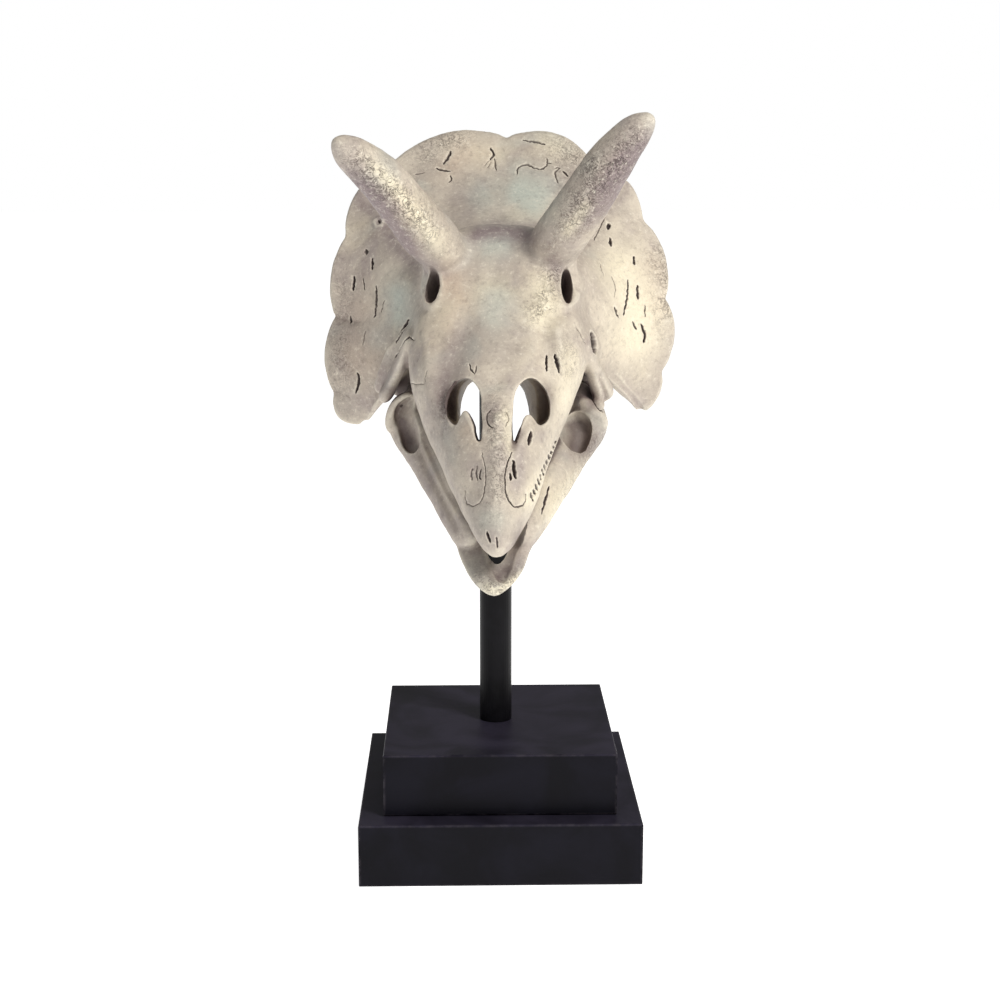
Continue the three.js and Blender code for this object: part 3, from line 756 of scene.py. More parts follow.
def eased(values, edges, times, share=0.6):
    """Values on a mesh's vertices, each drawn towards the mean of its neighbours."""
    count = len(values)
    links = np.maximum(1, np.bincount(edges.ravel(), minlength=count))
    share = np.broadcast_to(share, (count,))
    for _ in range(times):
        for k in range(values.shape[1]):
            total = np.bincount(edges[:, 0], values[edges[:, 1], k], count)
            total += np.bincount(edges[:, 1], values[edges[:, 0], k], count)
            values[:, k] += share * (total / links - values[:, k])
    return values


def to_whole(points):
    """From the skull's frame to the whole object's, still in millimetres."""
    return points @ SKULL_TURN.T + SKULL_AT


def picture_places(points):
    """Where the skull's points lie in the front view, to the right and down."""
    look = unit(CAMERA_LOOK)
    right = unit(np.cross(look, (0, 0, 1)))
    up = np.cross(right, look)
    away = to_whole(points) - CAMERA_AT
    depth = away @ look
    scale = PICTURE * LENS / SENSOR
    across = PICTURE / 2 + scale * (away @ right) / depth
    down = PICTURE / 2 - scale * (away @ up) / depth
    return np.stack([across, down], 1)


def seen_from_front(points, normals, tree):
    """Which points the front view sees."""
    away = unit(EYE_AT - points)
    facing = (normals * away).sum(1) > SIGHT["facing"]
    seen = np.zeros(len(points), bool)
    lifted = points + normals * SIGHT["lift"]
    for i in np.nonzero(facing)[0]:
        hit = tree.ray_cast(Vector(lifted[i]), Vector(away[i]), SIGHT["clear"])
        seen[i] = hit[0] is None
    return seen


def line_reach(places, line):
    """The distance of each place from a bent line, and how far along it, from 0 to 1, it is nearest."""
    line = np.asarray(line, float)
    runs = np.diff(line, axis=0)
    lengths = np.maximum(np.linalg.norm(runs, axis=1), LENGTH_FLOOR)
    before = np.concatenate([[0], np.cumsum(lengths)])
    nearest = np.full(len(places), np.inf)
    along = np.zeros(len(places))
    for start, run, length, passed in zip(line[:-1], runs, lengths, before):
        t = np.clip(((places - start) @ run) / length**2, 0, 1)
        distance = np.linalg.norm(places - start - t[:, None] * run, axis=1)
        closer = distance < nearest
        nearest = np.where(closer, distance, nearest)
        along = np.where(closer, (passed + t * length) / before[-1], along)
    return nearest, along


# Marks on the cast, drawn on the front view in thousandths of its frame. A furrow or a ridge is soft, a slit
# is narrow and steep. Each has a half width in the same thousandths, a depth in millimetres and its line.
FURROWS = [
    (13, 3.2, [(474, 306), (463, 335), (452, 362), (443, 392), (437, 420)]),
    (9, 2.6, [(547, 314), (546, 335), (547, 366), (550, 388)]),
    (6, 2.4, [(545, 311), (557, 316), (572, 311)]),
    (8, 2.2, [(416, 262), (417, 290), (424, 318)]),
    (7, 1.2, [(497, 372), (496, 392)]),
    (9, 2.2, [(474, 462), (474, 482), (473, 496)]),
    (9, 2.4, [(516, 462), (515, 482), (516, 497)]),
    (3.5, 1.6, [(421, 432), (434, 462), (444, 486), (457, 506)]),
    (3.5, 1.6, [(413, 436), (428, 472), (446, 505), (462, 540)]),
    (4, 1.8, [(552, 520), (541, 540), (531, 562)]),
    (6, 1.8, [(566, 330), (568, 350), (566, 372)]),
    (2.6, 2.6, [(600, 374), (604, 390), (609, 404)]),
    (7, 1.4, [(395, 345), (388, 370), (378, 392)]),
    (3.2, 0.9, [(345, 238), (356, 240), (366, 243)]),
    (3.2, 0.9, [(335, 318), (348, 321), (362, 322)]),
    (3.2, 0.7, [(334, 391), (345, 396), (352, 398)]),
    (3.2, 0.9, [(643, 217), (632, 221), (622, 224)]),
    (3.2, 0.9, [(666, 293), (654, 297), (644, 299)]),
    (3.2, 0.7, [(663, 366), (651, 361), (642, 358)]),
    (6, 0.7, [(503, 134), (500, 146), (498, 158)]),
    (3.5, 2.4, [(522, 428), (517, 438), (512, 450)]),
]
RIDGES = [
    (7, 2.6, [(424, 318), (428, 350), (429, 385), (435, 418)]),
    (6, 2.6, [(557, 322), (560, 345), (558, 378)]),
    (8, 2.2, [(497, 425), (497, 470), (497, 515)]),
    (5, 2.0, [(583, 262), (581, 285), (576, 305)]),
    (2.6, 1.6, [(440, 265), (443, 286), (439, 301), (431.5, 308), (424, 303), (420, 286), (423, 268)]),
    (2.6, 1.4, [(577, 268), (578, 286), (574, 302), (567, 309), (560, 302)]),
    (7, 3.0, [(494, 418), (501, 420)]),
    (3, 1.4, [(465, 410), (471, 418), (476, 432)]),
    (3, 1.4, [(526, 413), (519, 424), (515, 440)]),
    (1.8, 2.0, [(379.3, 217), (384, 220), (383, 226), (377, 227), (374.5, 222), (379.3, 217)]),
    (3, 1.6, [(612, 368), (628, 388), (645, 405)]),
    (4, 1.4, [(409, 330), (404, 352), (398, 372)]),
]
SLITS = [
    (0.9, 0.7, [(481, 452), (485.4, 472), (484.6, 488), (481, 500), (473, 506), (466, 503), (463.7, 490)]),
    (1.1, 1.2, [
        (512.4, 452), (506.4, 466), (505, 484), (508, 499), (515.4, 507), (523.6, 505), (527.3, 494),
    ]),
    (1.3, 2.4, [(548, 353.5), (548.6, 369.5)]),
    (1.9, 3.5, [(555, 354.8), (556.5, 362), (558.2, 372.6)]),
    (3.2, 5.0, [(591.8, 333), (593.5, 342), (595.2, 353.5)]),
    (0.9, 0.8, [(576, 326.7), (581, 336), (585, 344.6)]),
    (1.4, 2.5, [(395, 342.5), (403, 330), (408.5, 320)]),
    (1.0, 1.8, [(393, 357), (401, 347), (410, 337)]),
    (0.8, 1.0, [(410, 337), (414.5, 341)]),
    (0.9, 1.0, [(469, 363), (471, 369), (474, 374)]),
    (0.9, 1.0, [(476.5, 365.6), (475.5, 370), (474, 375)]),
    (0.7, 0.6, [(410, 382.8), (418, 384.4), (426.8, 384)]),
    (0.7, 0.5, [(426.8, 384), (427.5, 376), (429, 371)]),
    (2.0, 4.0, [(531, 432), (529.8, 439), (528.8, 445)]),
    (2.0, 3.5, [(513.9, 460), (515.5, 468), (517.6, 478)]),
    (1.8, 2.5, [(511.4, 472.6), (512.4, 480)]),
    (1.3, 2.0, [(487, 531.8), (488.5, 537), (490.6, 542.3)]),
    (1.6, 1.2, [(496.6, 537.8), (497.4, 548)]),
    (1.3, 2.2, [(549.8, 485.4), (546, 500), (541.6, 514)]),
    (1.0, 1.0, [(491, 410), (487, 416), (488, 424), (493, 428)]),
    (0.8, 0.7, [(506, 412), (508.5, 419), (505, 427)]),
    (1.2, 0.8, [(470.5, 468), (469, 474), (470, 480)]),
    (1.0, 0.8, [(476, 465), (474, 472), (476, 480)]),
    (1.2, 1.0, [(480, 468), (478, 476), (480, 479)]),
    (1.4, 1.8, [(372.4, 257.5), (371.8, 270)]),
    (1.7, 2.5, [(354, 276), (352.6, 290)]),
    (1.1, 1.6, [(376.3, 286), (376, 308), (374.3, 317.7)]),
    (1.1, 1.4, [(350.6, 316), (350.6, 323)]),
    (1.5, 2.2, [(357.5, 373), (359, 381), (355.6, 393)]),
    (2.2, 1.4, [(365.5, 249), (366, 254)]),
    (0.8, 0.9, [(363, 278), (365, 290)]),
    (0.8, 0.8, [(384, 300), (381, 312)]),
    (0.7, 0.7, [(366, 330), (363, 345)]),
    (1.6, 1.4, [(378.5, 221), (380.5, 223)]),
    (2.2, 3.0, [(608.7, 224), (608, 230)]),
    (1.7, 3.0, [(609.7, 238), (611, 246)]),
    (1.5, 2.2, [(633.6, 256.4), (634.2, 264.6)]),
    (1.5, 2.2, [(637.6, 285), (638, 299)]),
    (1.1, 1.8, [(628.5, 279), (627.5, 297), (623.8, 315.5)]),
    (1.3, 1.6, [(615.2, 307.3), (618.3, 317.5)]),
    (1.3, 1.6, [(632.6, 321.6), (636.6, 329.7)]),
    (1.5, 2.2, [(640.7, 323.6), (644.8, 333.8), (643.8, 343)]),
    (0.8, 1.2, [(644.8, 305), (644.8, 317.5)]),
    (0.7, 0.8, [(612, 276), (616, 288), (615, 297)]),
    (0.7, 0.7, [(600, 262), (604, 276)]),
    (0.9, 1.0, [(594, 240), (600, 228), (605, 217)]),
    (1.4, 1.8, [(450.2, 151), (449.5, 155), (443.1, 163.7)]),
    (1.2, 1.5, [(436.1, 168.6), (450.2, 171.4)]),
    (1.0, 1.2, [(450.2, 174.9), (451.6, 178.4), (448.8, 181.9)]),
    (0.8, 0.8, [(415, 174.5), (424.7, 172.5)]),
    (1.3, 1.6, [(490.1, 147.5), (493.7, 153.2), (490.8, 159.5)]),
    (0.9, 1.1, [(494.4, 158), (495, 164), (496.5, 170.7)]),
    (0.6, 0.6, [(484, 166), (489, 160)]),
    (0.6, 0.6, [(487, 168), (491, 161)]),
    (1.2, 1.2, [(523.1, 139.8), (534, 141.5), (545.6, 144.7)]),
    (0.9, 1.2, [
        (516.8, 174.9), (518.2, 167.9), (527.3, 164.4), (534.3, 167.9), (544.2, 167.9), (547.7, 162.3),
    ]),
    (0.9, 1.1, [(547, 158), (547.7, 162.3), (551.2, 163.7)]),
    (0.9, 1.1, [(555.4, 167.2), (559.6, 167.9), (555.4, 172.1), (558.2, 183.3)]),
    (1.2, 1.5, [(563.1, 170.7), (568, 176.3)]),
]
# Where the paint differs on the front: the paint's own tints, with painted shade in the mauve zones, a
# painted highlight in the cream zones and a dark wash with painted shade in the wash zones. Each zone is a
# list of bands with half width, strength and line.
TINTS = {
    # Mauve on the sides turned from the light: the paint's own mauve and painted shade
    "mauve_and_shade": [
        (13, 1.3, [(346, 170), (380, 207), (406, 246), (424, 266)]),
        (15, 1.1, [(640, 138), (602, 190), (572, 240)]),
        (9, 0.8, [(652, 128), (628, 176), (600, 218)]),
        (11, 1.0, [(464, 238), (500, 230), (541, 238)]),
        (9, 0.8, [(545, 250), (557, 272), (556, 300)]),
        (20, 0.5, [(446, 192), (478, 216)]),
        (15, 0.4, [(495, 262), (515, 270)]),
        (13, 0.7, [(470, 312), (452, 350), (440, 395), (436, 430)]),
        (18, 0.6, [(398, 430), (425, 490), (452, 545)]),
        (10, 0.6, [(497, 400), (497, 424)]),
        (8, 0.7, [(490, 528), (497, 548)]),
        (9, 0.6, [(470, 455), (477, 480)]),
        (10, 0.5, [(603, 425), (590, 455)]),
        (14, 0.5, [(395, 350), (385, 390), (350, 410)]),
        (20, 0.4, [(345, 260), (350, 330), (345, 390)]),
        (10, 0.6, [(492, 582), (512, 570), (524, 552)]),
    ],
    # Cream on the sides turned to the light: the paint's own cream and a painted highlight
    "cream_and_highlight": [
        (4, 0.9, [(498, 414), (500, 420)]),
        (7, 1.0, [(368, 160), (396, 188), (422, 222), (442, 250)]),
        (14, 0.9, [(538, 272), (548, 300), (532, 332)]),
        (26, 0.9, [(612, 240), (636, 310), (632, 365)]),
        (16, 0.7, [(566, 340), (572, 380), (562, 420)]),
        (11, 0.8, [(517, 500), (530, 500), (546, 470)]),
        (10, 0.8, [(582, 468), (562, 500), (546, 530)]),
        (4.5, 1.0, [(480, 586), (497, 593), (522, 574)]),
        (4, 0.9, [(505, 400), (508, 430), (510, 460)]),
        (14, 0.6, [(535, 138), (566, 152)]),
        (14, 0.5, [(470, 150), (510, 158)]),
        (16, 0.4, [(440, 300), (452, 330)]),
        (6, 0.8, [(563, 236), (575, 222), (590, 200)]),
    ],
    "warm": [
        (14, 0.8, [(447, 268), (456, 300), (448, 335)]),
        (13, 0.7, [(440, 175), (465, 152), (500, 156)]),
        (20, 0.7, [(362, 290), (355, 350), (370, 385)]),
        (9, 0.7, [(592, 205), (612, 170), (630, 145)]),
        (14, 0.4, [(650, 250), (655, 320)]),
        (10, 0.5, [(395, 190), (415, 220)]),
        (12, 0.5, [(466, 420), (476, 445)]),
    ],
    # A dark wash and painted shade in the pits, the nostrils' walls and the scoop
    "wash_and_shade": [
        (4, 0.6, [(489, 413), (488, 425)]),
        (7, 1.1, [(400, 415), (405, 432), (412, 448)]),
        (13, 1.3, [(577, 418), (581, 438), (576, 456)]),
        (9, 0.9, [(452, 385), (447, 400), (452, 418)]),
        (9, 1.0, [(541, 385), (545, 402), (541, 420)]),
        (8, 0.8, [(484, 568), (498, 574), (514, 566)]),
        (6, 0.9, [(522, 530), (515, 550)]),
        (4, 1.0, [(522, 428), (517, 438), (512, 449)]),
        (8, 0.9, [(583, 388), (590, 400), (597, 412)]),
        (7, 0.8, [(393, 385), (389, 400)]),
    ],
    "cool": [
        (17, 0.9, [(478, 243), (514, 241)]),
        (18, 0.6, [(500, 285), (490, 330)]),
        (22, 1.0, [(505, 188), (535, 196), (522, 214)]),
        (14, 0.8, [(396, 280), (402, 330)]),
        (12, 0.5, [(478, 520), (505, 522)]),
        (14, 0.6, [(468, 205), (490, 190)]),
    ],
    "stipple": [
        (17, 1.0, [(345, 150), (390, 190), (440, 245)]),
        (17, 1.0, [(648, 122), (600, 180), (560, 240)]),
        (12, 0.9, [(556, 262), (548, 290), (535, 320)]),
        (12, 0.7, [(497, 392), (497, 440), (500, 515)]),
        (9, 0.8, [(444, 396), (446, 424)]),
        (10, 0.8, [(470, 575), (497, 590), (524, 570)]),
        (14, 0.7, [(415, 160), (440, 142), (470, 138)]),
        (14, 0.7, [(550, 140), (575, 158), (600, 170)]),
        (12, 0.7, [(656, 240), (664, 270), (668, 330)]),
        (8, 0.6, [(600, 430), (585, 470), (560, 505)]),
        (14, 0.5, [(345, 260), (338, 350), (345, 405)]),
        (12, 0.5, [(566, 340), (570, 380)]),
    ],
}
# The slits between the upper teeth on the right: the ends of their row on the front view, how many there are,
# their half width and depth, the length of the last one, what share of it the first one has, how their
# lengths vary, and the way they lean
TOOTH_SLITS = {
    "from": (556.5, 443), "to": (532.5, 497), "count": 12, "wide": 1.7, "deep": 1.7, "length": 9,
    "shortest": 0.5, "steady": 0.88, "varied": 0.12, "beat": 2.4, "lean": (0.33, 0.94),
}
# How many half widths a soft mark reaches, and how it fades towards its ends, in shares of its length
SOFT = {"reach": 2.5, "fade_from": -0.12, "fade_to": 0.22}
# A slit's line: how fine its steps are and how many half widths it reaches, the size and the strength of its
# raggedness, how narrow it is at its ends and how much it widens, where its side begins, and how darkly a
# slit that has no depth is painted, with a dark wash and painted shade, and at what depth it is painted in
# full
SLIT = {
    "steps": 6, "reach": 3, "lumps": 3.2, "ragged": 0.9, "narrow": 0.3, "swell": 0.5, "side": 0.5,
    "faint": 0.4, "full": 4,
}


def tooth_slits():
    """The slits between the upper teeth, across their row."""
    row = TOOTH_SLITS
    slits = []
    start, end, lean = (np.array(row[name], float) for name in ("from", "to", "lean"))
    for i in range(row["count"]):
        share = i / (row["count"] - 1)
        at = blend(start, end, share)
        uneven = row["steady"] + row["varied"] * sin(row["beat"] * i)
        length = row["length"] * blend(row["shortest"], 1, share) * uneven
        line = [tuple(at + lean * length * part) for part in (-0.5, 0.5)]
        slits.append((row["wide"], row["deep"], line))
    return slits


def near_mark(places, usable, line, reach):
    """The usable vertices whose places lie within reach of a mark's box."""
    line = np.asarray(line, float)
    low, high = line.min(0) - reach, line.max(0) + reach
    inside = (places > low).all(1) & (places < high).all(1) & usable
    return np.nonzero(inside)[0]


def soft_marks(places, seen, marks):
    """How deep the soft marks go at each vertex."""
    depth = np.zeros(len(places))
    for wide, deep, line in marks:
        chosen = near_mark(places, seen, line, wide * SOFT["reach"])
        distance, along = line_reach(places[chosen], line)
        ends = soft_step(np.minimum(along, 1 - along), SOFT["fade_from"], SOFT["fade_to"])
        depth[chosen] += deep * np.exp(-((distance / wide) ** 2)) * ends
    return depth


def slit_cover(places, seen, marks, spread):
    """How much of a slit covers each vertex, from 0 to 1, and its depth there. Its sides spread so far."""
    cover = np.zeros(len(places))
    depth = np.zeros(len(places))
    for wide, deep, corners in marks:
        line = smooth_line(corners, np.linspace(0, 1, SLIT["steps"] * len(corners)))
        chosen = near_mark(places, seen, line, wide * SLIT["reach"])
        shaken = [noise.noise_vector(Vector((u, v, 0)) / SLIT["lumps"]) for u, v in places[chosen]]
        ragged = places[chosen] + SLIT["ragged"] * np.array(shaken).reshape(-1, 3)[:, :2]
        distance, along = line_reach(ragged, line)
        narrow = SLIT["narrow"] + SLIT["swell"] * np.sqrt(np.sin(pi * np.clip(along, 0, 1)))
        inside = 1 - soft_step(distance / (wide * narrow), SLIT["side"], SLIT["side"] + spread)
        strength = min(1, SLIT["faint"] + deep / SLIT["full"])
        cover[chosen] = np.maximum(cover[chosen], inside * strength)
        depth[chosen] = np.maximum(depth[chosen], inside * deep)
    return cover, depth


def noise_at(points, size, seed):
    """Smooth noise from -1 to 1 with lumps of about that size in millimetres."""
    offset = Vector([seed * step for step in NOISE_STEPS])
    return np.array([noise.noise(Vector(point) / size + offset) for point in points])


def surface_tree(meshes):
    """A search tree over the faces of some meshes."""
    points = []
    triangles = []
    for mesh in meshes:
        mesh.calc_loop_triangles()
        corners = read_rows(mesh.loop_triangles, "vertices", 3, np.int32)
        triangles += (corners + len(points)).tolist()
        points += [vertex.co.copy() for vertex in mesh.vertices]
    return BVHTree.FromPolygons(points, triangles, all_triangles=True)


def split_near_slits(piece, slits):
    """Halves the edges along the slits, so that they come out crisp."""
    mesh = piece.data
    places = picture_places(read_points(mesh))
    front = read_normals(mesh)[:, 1] < 0.3
    cover, _ = slit_cover(places, front, slits, spread=2.2)
    edges = read_edges(mesh)
    chosen = np.nonzero((cover[edges] > 0).any(1))[0]
    form = bmesh.new()
    form.from_mesh(mesh)
    form.edges.ensure_lookup_table()
    bmesh.ops.subdivide_edges(form, edges=[form.edges[i] for i in chosen], cuts=1, use_grid_fill=True)
    bmesh.ops.triangulate(form, faces=[face for face in form.faces if len(face.verts) > 4])
    form.to_mesh(mesh)
    form.free()


def melt_joins(piece, joins, times):
    """Draws the forms into each other where they join: each join has a middle and a reach."""
    mesh = piece.data
    points = read_points(mesh)
    share = np.zeros(len(points))
    for at, reach in joins:
        distance = np.linalg.norm(points - np.array(at), axis=1)
        share = np.maximum(share, JOIN_STRENGTH * (1 - soft_step(distance, reach * JOIN_CORE, reach)))
    write_points(mesh, eased(points, read_edges(mesh), times, share))


def carve(piece, slits):
    """Smooths the cast, then models its relief: furrows, ridges, slits and the uneven skin of bone."""
    mesh = piece.data
    write_points(mesh, eased(read_points(mesh), read_edges(mesh), times=4))
    split_near_slits(piece, slits)
    points = read_points(mesh)
    edges = read_edges(mesh)
    normals = unit(eased(read_normals(mesh), edges, times=3))
    seen = seen_from_front(points, normals, surface_tree([mesh]))
    places = picture_places(points)
    depth = soft_marks(places, seen, FURROWS) - soft_marks(places, seen, RIDGES)
    depth = eased(depth[:, None], edges, times=6)[:, 0]
    depth += sum(noise_at(points, size, i) * height for i, (size, height) in enumerate(SKIN_LUMPS, 1))
    cover, slit_depth = slit_cover(places, seen, slits, spread=0.9)
    points -= normals * (depth + slit_depth)[:, None]
    write_points(mesh, points)
    return {"points": points, "edges": edges, "normals": normals, "slit": cover}


def cavity(marks, times):
    """How far each vertex lies below the smoothed surface round it, in millimetres."""
    smooth = eased(marks["points"].copy(), marks["edges"], times)
    return ((smooth - marks["points"]) * marks["normals"]).sum(1)


def closeness(points, normals, tree):
    """How shut in each point is, over a long and over a short reach, from 0 in the open to 1. The distances
    are kept in whole millimetres."""
    distances = np.full((len(SHUT_TILTS), len(points)), SHUT_REACH)
    lifted = points + normals * SHUT_LIFT
    for tilt, distance in zip(SHUT_TILTS, distances):
        ways = unit(normals + np.array(tilt))
        for i in range(len(points)):
            hit = tree.ray_cast(Vector(lifted[i]), Vector(ways[i]), SHUT_REACH)
            if hit[0] is not None:
                distance[i] = hit[3]
    shut = 1 - distances / SHUT_REACH
    crease = np.maximum(0, 1 - distances / CREASE_REACH)
    return shut.mean(0), crease.mean(0)


def thin_out(piece, most):
    """Takes out faces where the surface is even, down to the most that the piece may have."""
    triangles = sum(len(face.vertices) - 2 for face in piece.data.polygons)
    thinner = piece.modifiers.new("thinner", "DECIMATE")
    thinner.ratio = min(1, most / triangles)
    settle(piece)


def paint(piece, marks, surroundings):
    """Gives the finished mesh its painted values: slits, recesses, shut places and creases, where the paint
    is darkened with a wash and painted shade, and the zones of its tints, some with painted shade and
    highlight.
    """
    mesh = piece.data
    tree = KDTree(len(marks["points"]))
    for i, point in enumerate(marks["points"]):
        tree.insert(point, i)
    tree.balance()
    points = read_points(mesh)
    normals = read_normals(mesh)
    nearest = np.array([tree.find(point)[1] for point in points])
    # How shut in, how creased and how deep in a recess each place is, for the dark wash and painted shade of
    # the paint
    shut, crease = closeness(points, normals, surroundings)
    recess = sum((cavity(marks, times)[nearest] * weight for times, weight in RECESSES), 0.5)
    values = {"slit": marks["slit"][nearest], "recess": np.clip(recess, 0, 1), "shut": shut, "crease": crease}
    places = picture_places(points)
    seen = seen_from_front(points, normals, surroundings)
    edges = read_edges(mesh)
    for name, bands in TINTS.items():
        values[name] = eased(soft_marks(places, seen, bands)[:, None], edges, times=3)[:, 0]
    for name, value in values.items():
        layer = mesh.attributes.new(name, "FLOAT", "POINT")
        layer.data.foreach_set("value", value.astype(np.float32))


def place_in_frame(piece):
    """Turns the skull onto its pole and goes over to metres."""
    mesh = piece.data
    write_points(mesh, to_whole(read_points(mesh)) / 1000)
    for face in mesh.polygons:
        face.use_smooth = True


def skull_cast():
    """The skull without its lower jaw, as one cast."""
    forms = [face_form(), frill_form(), ellipsoid(**NOSE_BOSS), ellipsoid(**CHEEK_KNOB)]
    forms += [ellipsoid(**part) for part in BRAINCASE]
    forms += [limb(POLE_KNOB, up=(0, 1, 0), ends=(0.2, 0))]
    forms += [horn_form(middles) for middles in HORNS.values()]
    for name, side in SIDES.items():
        forms += [orbit_rim_form(side), cheek_form(name), cheek_web_form(name)]
        forms += [quadrate_form(side), plate_form(side, **PTERYGOID), teeth_form(name)]
    piece = new_piece("skull_cast", joined(forms))
    fuse(piece, COARSE)
    melt_joins(piece, SKULL_JOINS, times=90)
    holes = [passage_hole()] + [nostril_hole(outline) for outline in NOSTRILS.values()]
    holes += [orbit_hole(name) for name in ORBITS]
    hollow_out(piece, holes + [pole_hole()])
    fuse(piece, FINE)
    keep_largest(piece)
    marks = carve(piece, SLITS + tooth_slits())
    thin_out(piece, MOST_FACES["skull"])
    return piece, marks


def jaw_cast():
    """The lower jaw with its scoop, as one cast, clear of the skull."""
    forms = [boat_form(SCOOP)]
    for name, side in SIDES.items():
        forms += [jaw_form(side), coronoid_form(side), jaw_rim_form(name), plate_form(side, **JAW_PLATE)]
    piece = new_piece("jaw_cast", joined(forms))
    fuse(piece, COARSE)
    melt_joins(piece, JAW_JOINS, times=20)
    holes = [boat_form(HOLLOW), boat_form(THROAT), face_form(GAP)]
    for name, side in SIDES.items():
        holes += [jaw_pit(name, side), cheek_form(name, GAP), quadrate_form(side, GAP)]
        holes += [plate_form(side, **PTERYGOID, grow=GAP)]
    hollow_out(piece, holes + [ellipsoid(**CHEEK_KNOB, grow=GAP)])
    fuse(piece, FINE)
    keep_largest(piece)
    marks = carve(piece, SLITS)
    thin_out(piece, MOST_FACES["jaw"])
    return piece, marks


class Value:
    """A number in a material. Python's operators on it add the material's own maths."""

    def __init__(self, material, socket):
        self.material = material
        self.socket = socket

    def maths(self, operation, first, second):
        node = self.material.node("ShaderNodeMath", {"operation": operation}, {0: first, 1: second})
        return Value(self.material, node.outputs[0])

    def __add__(self, other):
        return self.maths("ADD", self, other)

    def __sub__(self, other):
        return self.maths("SUBTRACT", self, other)

    def __rsub__(self, other):
        return self.maths("SUBTRACT", other, self)

    def __mul__(self, other):
        return self.maths("MULTIPLY", self, other)

    __radd__ = __add__
    __rmul__ = __mul__

    def most(self, other):
        return self.maths("MAXIMUM", self, other)

    def least(self, other):
        return self.maths("MINIMUM", self, other)

    def size(self):
        return self.maths("ABSOLUTE", self, 0)

    def stepped(self, low, high):
        """0 below low, 1 above high and a soft rise between them."""
        sockets = {"Value": self, "From Min": low, "From Max": high}
        node = self.material.node("ShaderNodeMapRange", {"interpolation_type": "SMOOTHSTEP"}, sockets)
        return Value(self.material, node.outputs["Result"])


def colour(red, green, blue):
    """A colour given as it looks on a screen, from 0 to 255, for a shader."""
    def linear(value):
        share = value / 255
        return share / 12.92 if share <= 0.04045 else ((share + 0.055) / 1.055) ** 2.4

    return (linear(red), linear(green), linear(blue), 1)


class Finish:
    """A material built from nodes on the object's own coordinates and attributes."""

    def __init__(self, name, roughness, specular):
        self.made = bpy.data.materials.new(name)
        self.made.use_nodes = True
        self.tree = self.made.node_tree
        self.shader = self.tree.nodes["Principled BSDF"]
        self.shader.inputs["Roughness"].default_value = roughness
        self.shader.inputs["Specular IOR Level"].default_value = specular
        self.here = self.node("ShaderNodeTexCoord", {}, {}).outputs["Object"]

    def node(self, kind, settings, sockets):
        """Adds a node: its settings first, then the values or links of its sockets."""
        made = self.tree.nodes.new(kind)
        for name, setting in settings.items():
            setattr(made, name, setting)
        for name, value in sockets.items():
            self.feed(made.inputs[name], value)
        return made

    def feed(self, socket, value):
        """Gives a socket a link or a value of its own."""
        if isinstance(value, Value):
            value = value.socket
        if isinstance(value, bpy.types.NodeSocket):
            self.tree.links.new(value, socket)
        else:
            socket.default_value = value

    def attribute(self, name):
        """A painted value of the mesh."""
        node = self.node("ShaderNodeAttribute", {"attribute_name": name}, {})
        return Value(self, node.outputs["Fac"])

    def axes(self):
        """The place on the object as three numbers."""
        node = self.node("ShaderNodeSeparateXYZ", {}, {"Vector": self.here})
        return [Value(self, node.outputs[axis]) for axis in "XYZ"]

    def stretched(self, scale):
        """The object's coordinates stretched along its axes."""
        return self.node("ShaderNodeMapping", {}, {"Vector": self.here, "Scale": scale}).outputs[0]

    def clouds(self, size, detail=3.0, roughness=0.55, warp=0.0, place=None):
        """Soft noise from 0 to 1 with lumps of about that size in metres."""
        sockets = {
            "Vector": place or self.here,
            "Scale": 1 / size,
            "Detail": detail,
            "Roughness": roughness,
            "Distortion": warp,
        }
        return Value(self, self.node("ShaderNodeTexNoise", {}, sockets).outputs["Fac"])

    def mixed(self, first, second, amount):
        """Two colours mixed by an amount."""
        sockets = {"Factor": amount, 6: first, 7: second}
        return self.node("ShaderNodeMix", {"data_type": "RGBA"}, sockets).outputs[2]

    def painted(self, tone, layers):
        """A tone under layers of paint, each with its colour and how much it covers."""
        for tint, amount in layers:
            tone = self.mixed(tone, colour(*tint), amount)
        return tone

    def relief(self, height, distance, strength, under=None):
        """A bump in metres on the normal, over another one if there is one."""
        sockets = {"Height": height, "Distance": distance, "Strength": strength}
        if under is not None:
            sockets["Normal"] = under
        return self.node("ShaderNodeBump", {}, sockets).outputs["Normal"]

    def shown(self, tone, roughness, normal):
        """Connects what changes over the surface and returns the material."""
        self.feed(self.shader.inputs["Base Color"], tone)
        self.feed(self.shader.inputs["Roughness"], roughness)
        self.feed(self.shader.inputs["Normal"], normal)
        return self.made


